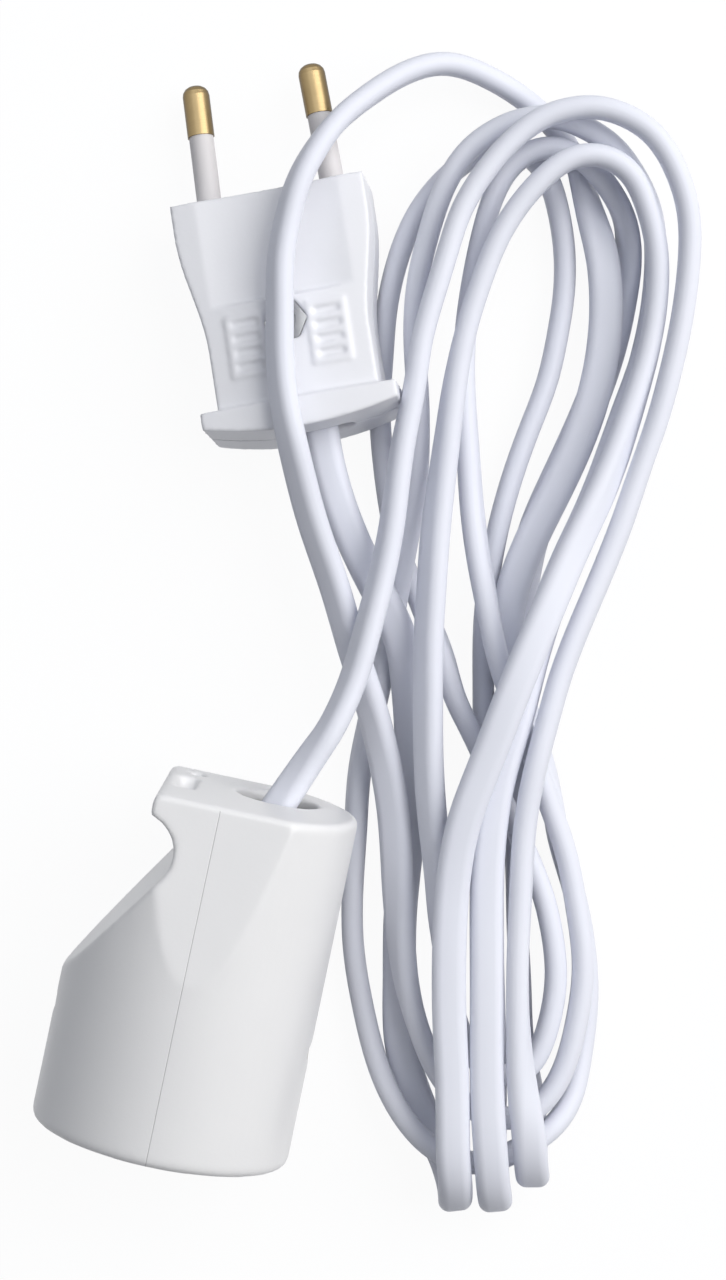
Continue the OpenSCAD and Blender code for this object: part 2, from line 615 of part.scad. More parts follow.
// Cord: a tube of six-sided rings through points chosen along the coil.
// Each point is [x, y, z, roll]; roll 0 lies flat and 90 stands on edge.
cord_turns = [
    [-3, 18.5, 14, 0], [-0.5, 12.5, 12.6, 5], [2.5, 6.5, 11.2, 5], [5.5, 0.5, 10.2, 10],
    [6.5, -6.5, 8, 20], [7, -14, 6, 30], [7, -22.5, 4, 20], [6.5, -31.5, 2.6, 0], [5.5, -41, 2, 0],
    [5.5, -51, 2, 0], [5.5, -59.5, 2, 0], [7.5, -67, 2.1, 0], [10, -73, 2.2, 0],
    [12, -76.5, 2.3, 0], [13.5, -81, 4.5, 0], [13.5, -82.5, 9.8, 0], [13.5, -79.5, 15.1, 0],
    [13, -74, 17.3, 0], [13, -65, 17.4, 0], [12.5, -55, 17.4, 0], [12.5, -45, 17.9, 0],
    [13, -35.5, 18, 0], [14.5, -26.5, 19, 0], [17.5, -18.5, 19.6, 0], [20.5, -10.5, 20.2, 0],
    [23.5, -3, 20, 5], [27, 5, 18.8, 15], [30.5, 13, 16.8, 30], [34.5, 21, 14.8, 45],
    [37.5, 28.5, 13.4, 60], [40, 36, 12.4, 75], [42, 43, 12, 85], [43, 50, 12, 90],
    [43, 57.5, 12.4, 90], [41, 64.5, 13.4, 90], [38.5, 68.5, 14.4, 90], [34.5, 70.5, 15, 90],
    [30, 70, 15.3, 90], [26, 67, 15.3, 90], [22.5, 63, 15, 90], [19.5, 58, 14.8, 90],
    [17, 51.5, 14.6, 90], [15, 45, 14.6, 90], [13.5, 38, 14.6, 80], [12.5, 31, 14.8, 70],
    [11.5, 23.5, 15.2, 60], [10.5, 15.5, 15.6, 50], [10, 8, 15.8, 50], [9.5, 0, 15.6, 50],
    [9.5, -8, 15.3, 50], [9.5, -16, 15, 50], [10, -25, 14.4, 50], [11, -33.5, 13, 55],
    [11.5, -41, 11.6, 65], [12.5, -48, 10, 80], [13.5, -55, 9, 90], [15.5, -60, 8.6, 90],
    [18.5, -63.5, 8.6, 90], [22.5, -64, 8.6, 90], [25.5, -61.5, 8.6, 90], [27.5, -56, 8.6, 90],
    [28.5, -49, 8.6, 90], [27.5, -41.5, 8.6, 90], [26, -36, 8.6, 90], [23.5, -30, 8.6, 90],
    [21, -24.5, 8.6, 90], [18.5, -19, 8.6, 90], [16, -13.5, 8.6, 90], [13.5, -8.5, 8.4, 85],
    [12, -3, 7.6, 80], [10, 2, 6, 75], [8, 7, 2.9, 85], [5.5, 13, 2.6, 90], [4, 19.5, 2.6, 90],
    [3, 27, 2.6, 90], [2.5, 34.5, 2.6, 90], [3, 42, 2.6, 90], [3.5, 49, 2.6, 90], [5, 56, 2.6, 90],
    [7.5, 62.5, 2.6, 90], [11, 67.5, 2.6, 90], [15.5, 71.5, 2.6, 90], [20, 73.5, 2.6, 90],
    [24.5, 72.5, 2.6, 90], [27.5, 69, 2.6, 90], [29, 64.5, 2.6, 90], [30, 58.5, 2.6, 90],
    [30, 52, 2.6, 90], [29, 45.5, 2.6, 90], [27.5, 38.5, 2.6, 90], [25, 32, 2.6, 90],
    [22.5, 25, 2.6, 90], [20.5, 18, 2.6, 90], [19, 10.5, 2.6, 90], [18, 2, 2.6, 90],
    [18, -7.5, 2.6, 90], [18, -18, 2.6, 90], [18.5, -28.5, 2.6, 90], [19, -39, 2.6, 80],
    [19, -49.5, 2.4, 60], [19, -59.5, 2.1, 30], [19, -69.5, 2, 0], [19, -76.5, 2.3, 0],
    [19.5, -81.5, 4.5, 0], [19.5, -82.5, 9.8, 0], [19, -80, 15.1, 0], [18.5, -74, 17.3, 0],
    [18, -66, 17.2, 0], [18, -56, 16.8, 0], [18, -45.5, 16.4, 0], [18, -36.5, 16, 0],
    [18.5, -27.5, 16, 0], [20, -19, 16, 0], [22.5, -11, 15.6, 0], [24.5, -3, 14.6, 5],
    [27, 4.5, 13, 15], [30, 12, 10.8, 30], [33.5, 19.5, 8.4, 45], [36.5, 27.5, 6.2, 60],
    [39, 35, 5, 75], [41.5, 42.5, 4.3, 90], [43, 50, 4, 90], [43.5, 57.5, 4.3, 90],
    [42.5, 64, 6.6, 90], [39.5, 69.5, 8.2, 90], [36.5, 73, 9, 90], [32.5, 75.5, 9.4, 90],
    [28, 77, 9.4, 90], [23, 76.5, 9.2, 90], [18.5, 74.5, 8.8, 90], [14.5, 71, 8.8, 90],
    [11.5, 65.5, 8.8, 90], [9.5, 59, 9, 90], [8, 52.5, 9.1, 90], [7.5, 45, 9.2, 90],
    [8, 37.5, 9.2, 85], [8, 30, 9.2, 75], [7.5, 22, 9.2, 65], [6, 14, 8.6, 60],
    [4.5, 5.5, 6.6, 60], [3, -2.5, 4.4, 60], [1.5, -10.5, 3.8, 70], [-0.5, -19, 3, 80],
    [-1, -27.5, 2.8, 80], [-1.5, -36.5, 2.6, 90], [-1.5, -45.5, 2.6, 90], [0, -54.5, 2.7, 90],
    [2, -62.5, 4.4, 90], [5, -69, 6.8, 90], [9, -74, 7.5, 90], [13.5, -76.5, 8.6, 90],
    [18.5, -77, 8.8, 90], [23, -75, 8, 90], [27.5, -72.5, 7.2, 90], [31, -68, 4.8, 90],
    [32.5, -61.5, 3, 90], [33.5, -53.5, 2.6, 90], [33, -45.5, 2.6, 90], [31.5, -37.5, 2.6, 90],
    [29, -29.5, 2.6, 90], [28, -22.5, 3.6, 85], [25, -15, 5.5, 28], [23, -8.5, 5.8, 0],
    [21.5, -2, 5.8, 0], [21.5, 4, 5.8, 0], [23, 10, 5.8, 0], [25.5, 16, 5.8, 0],
    [28.5, 22, 5.8, 0], [31.5, 28.5, 5.8, 0], [34, 35.5, 5.8, 0], [35.5, 42.5, 5.8, 0],
    [36, 49.5, 6.2, 0], [35.5, 56.5, 6.4, 10], [34, 62.5, 4.8, 40], [32.5, 68.5, 2.8, 75],
    [31, 73, 2.6, 85], [27.5, 77.5, 2.6, 90], [23.5, 81, 2.8, 90], [18, 84, 4, 90],
    [12, 85.5, 6, 90], [6, 83.5, 8.4, 90], [1, 80, 11, 90], [-3.5, 76, 13.8, 85],
    [-7, 71, 16.4, 75], [-9.5, 66, 17.8, 70], [-11, 60.5, 18, 65], [-12, 54.5, 18.7, 62],
    [-12, 48.5, 19.3, 60], [-12, 42, 20.4, 58], [-11.5, 35.5, 21.6, 55], [-10.5, 30, 23, 50],
    [-9, 23.5, 21.6, 45], [-7, 16, 19.6, 45], [-4, 7.5, 17, 45], [-1.5, -1.5, 14.8, 45],
    [1, -9, 12.6, 40], [3, -17, 10.8, 30], [4.5, -25.5, 9.6, 25], [5, -34, 9, 30],
    [5.5, -43, 8.6, 50], [6.5, -51, 8.6, 75], [8.5, -58, 8.6, 90], [11.5, -64.5, 8.6, 90],
    [16, -69, 8.8, 90], [21.5, -70.5, 8.8, 90], [26, -68.5, 8.8, 90], [29.5, -63.5, 8.6, 90],
    [31.5, -56, 8.6, 90], [32.5, -48, 8.6, 90], [31.5, -40, 8.6, 90], [30, -31.5, 8.6, 90],
    [27.5, -24.5, 9.4, 90], [25, -17, 10.5, 90], [22.5, -10.5, 10.6, 90], [20, -3.5, 10.6, 85],
    [18.5, 4, 10.2, 80], [17, 12, 9.6, 75], [16, 20, 9.2, 75], [15.5, 28, 9, 80],
    [15, 36, 8.8, 85], [15, 44, 8.7, 90], [16, 52, 8.6, 90], [17.5, 59.5, 8.6, 90],
    [19.5, 66, 8.6, 90], [22.5, 70.5, 8.4, 90], [26.5, 72.5, 8.2, 90], [30.5, 72, 8.2, 90],
    [34, 69.5, 8, 90], [37, 66, 6.2, 90], [39, 62, 4.8, 85], [39.5, 57, 3, 60], [38.5, 51, 2, 25],
    [37, 44, 1.8, 0], [34.5, 36.5, 1.8, 0], [31.5, 29.5, 1.8, 0], [28.5, 23, 1.8, 0],
    [25.5, 16, 1.8, 0], [24, 9, 1.8, 0], [23, 1.5, 1.8, 0], [23, -6.5, 1.8, 0],
    [23, -15.5, 1.8, 5], [23, -24.5, 2.2, 50], [23, -33.5, 2.6, 80], [23, -42.5, 2.6, 90],
    [23.5, -51.5, 2.6, 85], [23.5, -59.5, 2.5, 70], [24.5, -67, 2.2, 25], [25, -73, 2.3, 0],
    [25, -78, 4.4, 0], [25, -79, 9.3, 0], [24.5, -76.5, 14.2, 0], [24, -71, 16.3, 10],
    [23, -64, 16.6, 50], [22.5, -55, 16.4, 80], [22.5, -46, 16, 85], [23, -36.5, 15.6, 80],
    [23.5, -27.5, 15.4, 80], [25, -19, 16, 80], [27, -11.5, 15.6, 80], [29, -4.5, 15, 80],
    [32, 3, 14.4, 80], [35, 10, 13.8, 80], [38, 17.5, 13.4, 80], [40.5, 25, 13.2, 85],
    [43, 32, 13.2, 90], [45, 39.5, 13.3, 90], [46.5, 46.5, 13.6, 90], [47.5, 54.5, 14, 90],
    [47.5, 62, 14.5, 90], [45.5, 68.5, 15, 90], [42, 74, 15, 90], [36.5, 77, 15, 90],
    [31.5, 77.5, 15, 90], [26, 76, 15, 90], [21.5, 72.5, 15, 90], [18, 68.5, 15, 90],
    [14.5, 63, 15, 90], [12.5, 57, 15.2, 90], [10.5, 50.5, 15.5, 90], [8.5, 43.5, 15.9, 90],
    [7.5, 36.5, 16.4, 85], [6, 29.5, 17, 80], [5, 23, 17.6, 75], [4, 15.5, 18.2, 70],
    [2.5, 8.5, 19, 65], [0.5, 1, 20.4, 60], [-1.5, -6, 21.2, 60], [-4.5, -12.5, 22.8, 60]
];
cord_points = concat(
    [for (p = [[outlet_x, cord_in - plug_len, 0], [outlet_x, -plug_len, 0],
        [outlet_x + 0.2, -plug_len - 6, 0]]) each [concat(from_plug(p), [plug_roll])]],
    cord_turns,
    [for (p = [[hole_x + 3.9, 8, 50, 1.5], [hole_x + 0.7, 0, 30, 1],
        [cord_in_x + 0.4, -5, 15, -0.1], [cord_in_x, -9, 0, 0],
        [cord_in_x, cord_end_z - socket_len, 0, 0]])
        concat(from_socket([p.x, p[3], socket_len + p.y]), [p.z])]);
function reach(p, i) = i < 0 ? 2 * p[0] - p[1]
    : i >= len(p) ? 2 * p[len(p) - 1] - p[len(p) - 2] : p[i];
function xyz(p) = [p[0], p[1], p[2]];
// Smooth curve through the points: a cubic B-spline on points pulled outward
knots = [for (i = [0:len(cord_points) - 1]) cord_points[i] - (reach(cord_points, i - 1)
    - 2 * cord_points[i] + reach(cord_points, i + 1)) / 6];
centres = [for (i = [0:len(knots) - 1])
    (reach(knots, i - 1) + 4 * knots[i] + reach(knots, i + 1)) / 6];
heads = [for (i = [0:len(knots) - 1])
    unit(xyz(reach(knots, i + 1) - reach(knots, i - 1)))];
// The broad direction follows the roll, and carries over where the cord stands upright
function rolled(t, a) = let(s = [-t.y, t.x, 0] / max(norm([t.x, t.y]), 0.001))
    cos(a) * s + sin(a) * cross(t, s);
function carried(last, t, a) = let(w = min(1, 2 * (t.x * t.x + t.y * t.y)),
    d = rolled(t, a),
    m = (1 - w) * (last - (last * t) * t) + w * (d * last < 0 ? -1 : 1) * d)
    unit(m - (m * t) * t);
function broad_ways(i, got) = i == len(heads) ? got
    : broad_ways(i + 1, concat(got, [i == 0 ? rolled(heads[0], centres[0][3])
        : carried(got[i - 1], heads[i], centres[i][3])]));
module tube(c, b, t, ring) {
    n = len(ring);
    last = n * (len(c) - 1);
    points = [for (i = [0:len(c) - 1]) each let(m = cross(t[i], b[i]))
        [for (p = ring) c[i] + p.x * b[i] + p.y * m]];
    polyhedron(points = points, faces = concat(
        [for (k = [1:n - 2]) [0, k, k + 1]],
        [for (k = [1:n - 2]) [last, last + k + 1, last + k]],
        [for (i = [0:len(c) - 2]) each [for (k = [0:n - 1]) each let(a = n * i + k,
            z = n * i + (k + 1) % n) [[a, z + n, z], [a, a + n, z + n]]]]));
}
module cord() {
    flat = (cord_w - cord_t) / 2 + cord_t / 8;
    color("white") in_layout() tube([for (c = centres) xyz(c)], broad_ways(0, []), heads,
        [[cord_w / 2, 0], [flat, cord_t / 2], [-flat, cord_t / 2], [-cord_w / 2, 0],
        [-flat, -cord_t / 2], [flat, -cord_t / 2]]);
}
// Least gap between stretches of the cord, measured at and halfway between its rings
function span(d, b, m) = sqrt(pow(cord_w / 2 * (d * b), 2) + pow(cord_t / 2 * (d * m), 2));
union() {  // cord
    ways = broad_ways(0, []);
    n = len(centres);
    c = [for (i = [0:2 * n - 2]) let(k = floor(i / 2)) i % 2 == 0 ? xyz(centres[k])
        : xyz(reach(knots, k - 1) + 23 * knots[k] + 23 * knots[k + 1]
            + reach(knots, k + 2)) / 48];
    b = [for (i = [0:2 * n - 2]) let(k = floor(i / 2)) i % 2 == 0 ? ways[k]
        : unit(ways[k] + ways[k + 1])];
    m = [for (i = [0:2 * n - 2]) let(k = floor(i / 2)) i % 2 == 0
        ? cross(heads[k], ways[k]) : cross(unit(heads[k] + heads[k + 1]), b[i])];
    gaps = [for (i = [0:len(c) - 6], j = [i + 5:len(c) - 1])
        let(d = c[j] - c[i], l = norm(d)) if (l < 7)
            l - span(d / l, b[i], m[i]) - span(d / l, b[j], m[j])];
    runs = [for (i = [1:len(c) - 1]) norm(c[i] - c[i - 1])];
    echo(str("Cord length, mm: ", runs * [for (r = runs) 1]));
    echo(str("Least gap of the cord to itself, mm: ", min(gaps)));
}

socket_body();
socket_face();
shutter();
shutter_spring();
contact_carrier();
contact_left();
contact_right();
socket_terminal_screws();
socket_cord_clamp();
socket_clamp_screws();
socket_core_brown();
socket_core_blue();
cord();
plug_upper_shell();
plug_lower_shell();
plug_pin_left();
plug_pin_right();
pin_sleeve_left();
pin_sleeve_right();
plug_terminal_screws();
plug_cord_clamp();
plug_clamp_screws();
plug_assembly_screw();
plug_assembly_nut();
plug_core_brown();
plug_core_blue();
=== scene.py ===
# %% [markdown]
# # Extension cord: looks
# A slim two-pin plug, about two metres of flat white cord in a loose coil, and a round
# socket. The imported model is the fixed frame: its pieces keep their place and size. This
# script adds what only the eye needs, which is the cord's full section, soft moulded edges,
# the finishes, the light and the camera.

# %% Load the frame
import bpy
import bmesh
import math
from mathutils import Matrix, Vector


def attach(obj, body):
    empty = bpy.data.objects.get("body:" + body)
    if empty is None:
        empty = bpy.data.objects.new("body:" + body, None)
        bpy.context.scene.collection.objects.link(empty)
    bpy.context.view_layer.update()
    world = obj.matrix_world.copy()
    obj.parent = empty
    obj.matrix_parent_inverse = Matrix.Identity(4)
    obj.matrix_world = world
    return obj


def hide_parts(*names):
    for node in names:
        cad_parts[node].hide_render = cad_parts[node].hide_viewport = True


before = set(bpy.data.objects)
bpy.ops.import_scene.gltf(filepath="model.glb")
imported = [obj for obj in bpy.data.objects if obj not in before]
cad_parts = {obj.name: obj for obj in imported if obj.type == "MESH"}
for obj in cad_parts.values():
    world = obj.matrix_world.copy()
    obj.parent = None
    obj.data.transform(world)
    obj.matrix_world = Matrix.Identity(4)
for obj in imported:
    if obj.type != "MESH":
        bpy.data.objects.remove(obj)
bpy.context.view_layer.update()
ROOT = "lead"
MM = 0.001
print("loaded nodes:", len(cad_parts))

# %% [markdown]
# ## Where things lie
# The socket heads along +Y. The coil and the plug lie at a slight angle to it, so they are
# placed in a layout frame of their own. Working in that frame keeps the route's points
# readable, and one matrix takes every point to its place.

# %% The layout frame
LAYOUT_TURN = math.radians(12)
LAYOUT_AT = Vector((24.14, 46.98, 0)) * MM
IN_LAYOUT = Matrix.Rotation(LAYOUT_TURN, 4, "Z") @ Matrix.Translation(LAYOUT_AT)
from_layout = IN_LAYOUT.inverted()
print("layout origin, m:", [round(v, 4) for v in IN_LAYOUT.translation])

# %% [markdown]
# ## The socket's own frame
# The socket is a tapered round housing that rests on the flat at its cable end and on the
# rim at its mouth, so it leans by a few degrees. Its frame has the axis as Z, from the
# mouth inwards. The height and the set-back follow from the radius, the rim and the lean,
# as in the solid model, so they stay right when one of those changes.

# %% Place of the socket
SOCKET_LEAN = math.radians(5.5)
SOCKET_R = 18.8 * MM
SOCKET_LEN = 51.5 * MM
RIM_R = 1.2 * MM
FLAT_LEN = 26 * MM
FLAT_SLOPE = math.radians(7)
FLAT_HALF = SOCKET_R - FLAT_LEN * math.tan(FLAT_SLOPE)
lean_cos, lean_sin = math.cos(SOCKET_LEAN), math.sin(SOCKET_LEAN)
socket_z = (SOCKET_R - RIM_R) * lean_cos - RIM_R * lean_sin + RIM_R
mouth_reach = RIM_R * lean_cos - (SOCKET_R - RIM_R) * lean_sin - RIM_R
back_reach = SOCKET_LEN * lean_cos + FLAT_HALF * lean_sin
socket_y = -(mouth_reach + back_reach) / 2
IN_SOCKET = (Matrix.Translation((0, socket_y, socket_z))
             @ Matrix.Rotation(SOCKET_LEAN - math.pi / 2, 4, "X"))
print("socket axis height at the mouth, mm:", round(socket_z / MM, 2))

# %% [markdown]
# ## The plug's own frame
# The plug lies on its crowned underside, tipped and rolled a little by the pull of its
# cord. Y runs along the pins, away from the face.

# %% Place of the plug
PLUG_W = 28.8 * MM
PLUG_T = 13.7 * MM
PLUG_CROWN = 0.8 * MM
PLUG_HEAD, PLUG_DIP, PLUG_ROLL = (math.radians(a) for a in (9, 8, 6))
PLUG_X, PLUG_Y = -13.5 * MM, 65.2 * MM
plug_z = (PLUG_W / 2 * math.sin(PLUG_ROLL)
          + (PLUG_T / 2 - PLUG_CROWN) * math.cos(PLUG_ROLL)) * math.cos(PLUG_DIP)
IN_PLUG = (IN_LAYOUT @ Matrix.Translation((PLUG_X, PLUG_Y, plug_z))
           @ Matrix.Rotation(PLUG_HEAD, 4, "Z") @ Matrix.Rotation(-PLUG_DIP, 4, "X")
           @ Matrix.Rotation(-PLUG_ROLL, 4, "Y"))
print("plug axis height, mm:", round(plug_z / MM, 2))

# %% [markdown]
# ## Camera
# It hangs half a metre above the table, looks straight down and is turned with the layout.
# The lens follows from the focal length in pixels and the frame's height in pixels.

# %% Camera
FOCAL_PX = 3468
FRAME_PX = 1280
SENSOR_MM = 36
CAMERA_HEIGHT = 0.520
cam_data = bpy.data.cameras.new("camera")
cam_data.sensor_fit = "AUTO"
cam_data.sensor_width = SENSOR_MM
cam_data.lens = SENSOR_MM * FOCAL_PX / FRAME_PX
cam_data.clip_start = 0.01
cam_data.clip_end = 50
camera = bpy.data.objects.new("camera", cam_data)
bpy.context.scene.collection.objects.link(camera)
camera.location = IN_LAYOUT @ Vector((0, 0, CAMERA_HEIGHT))
camera.rotation_euler = (0, 0, LAYOUT_TURN)
bpy.context.scene.camera = camera
print("camera at", [round(v, 4) for v in camera.location])
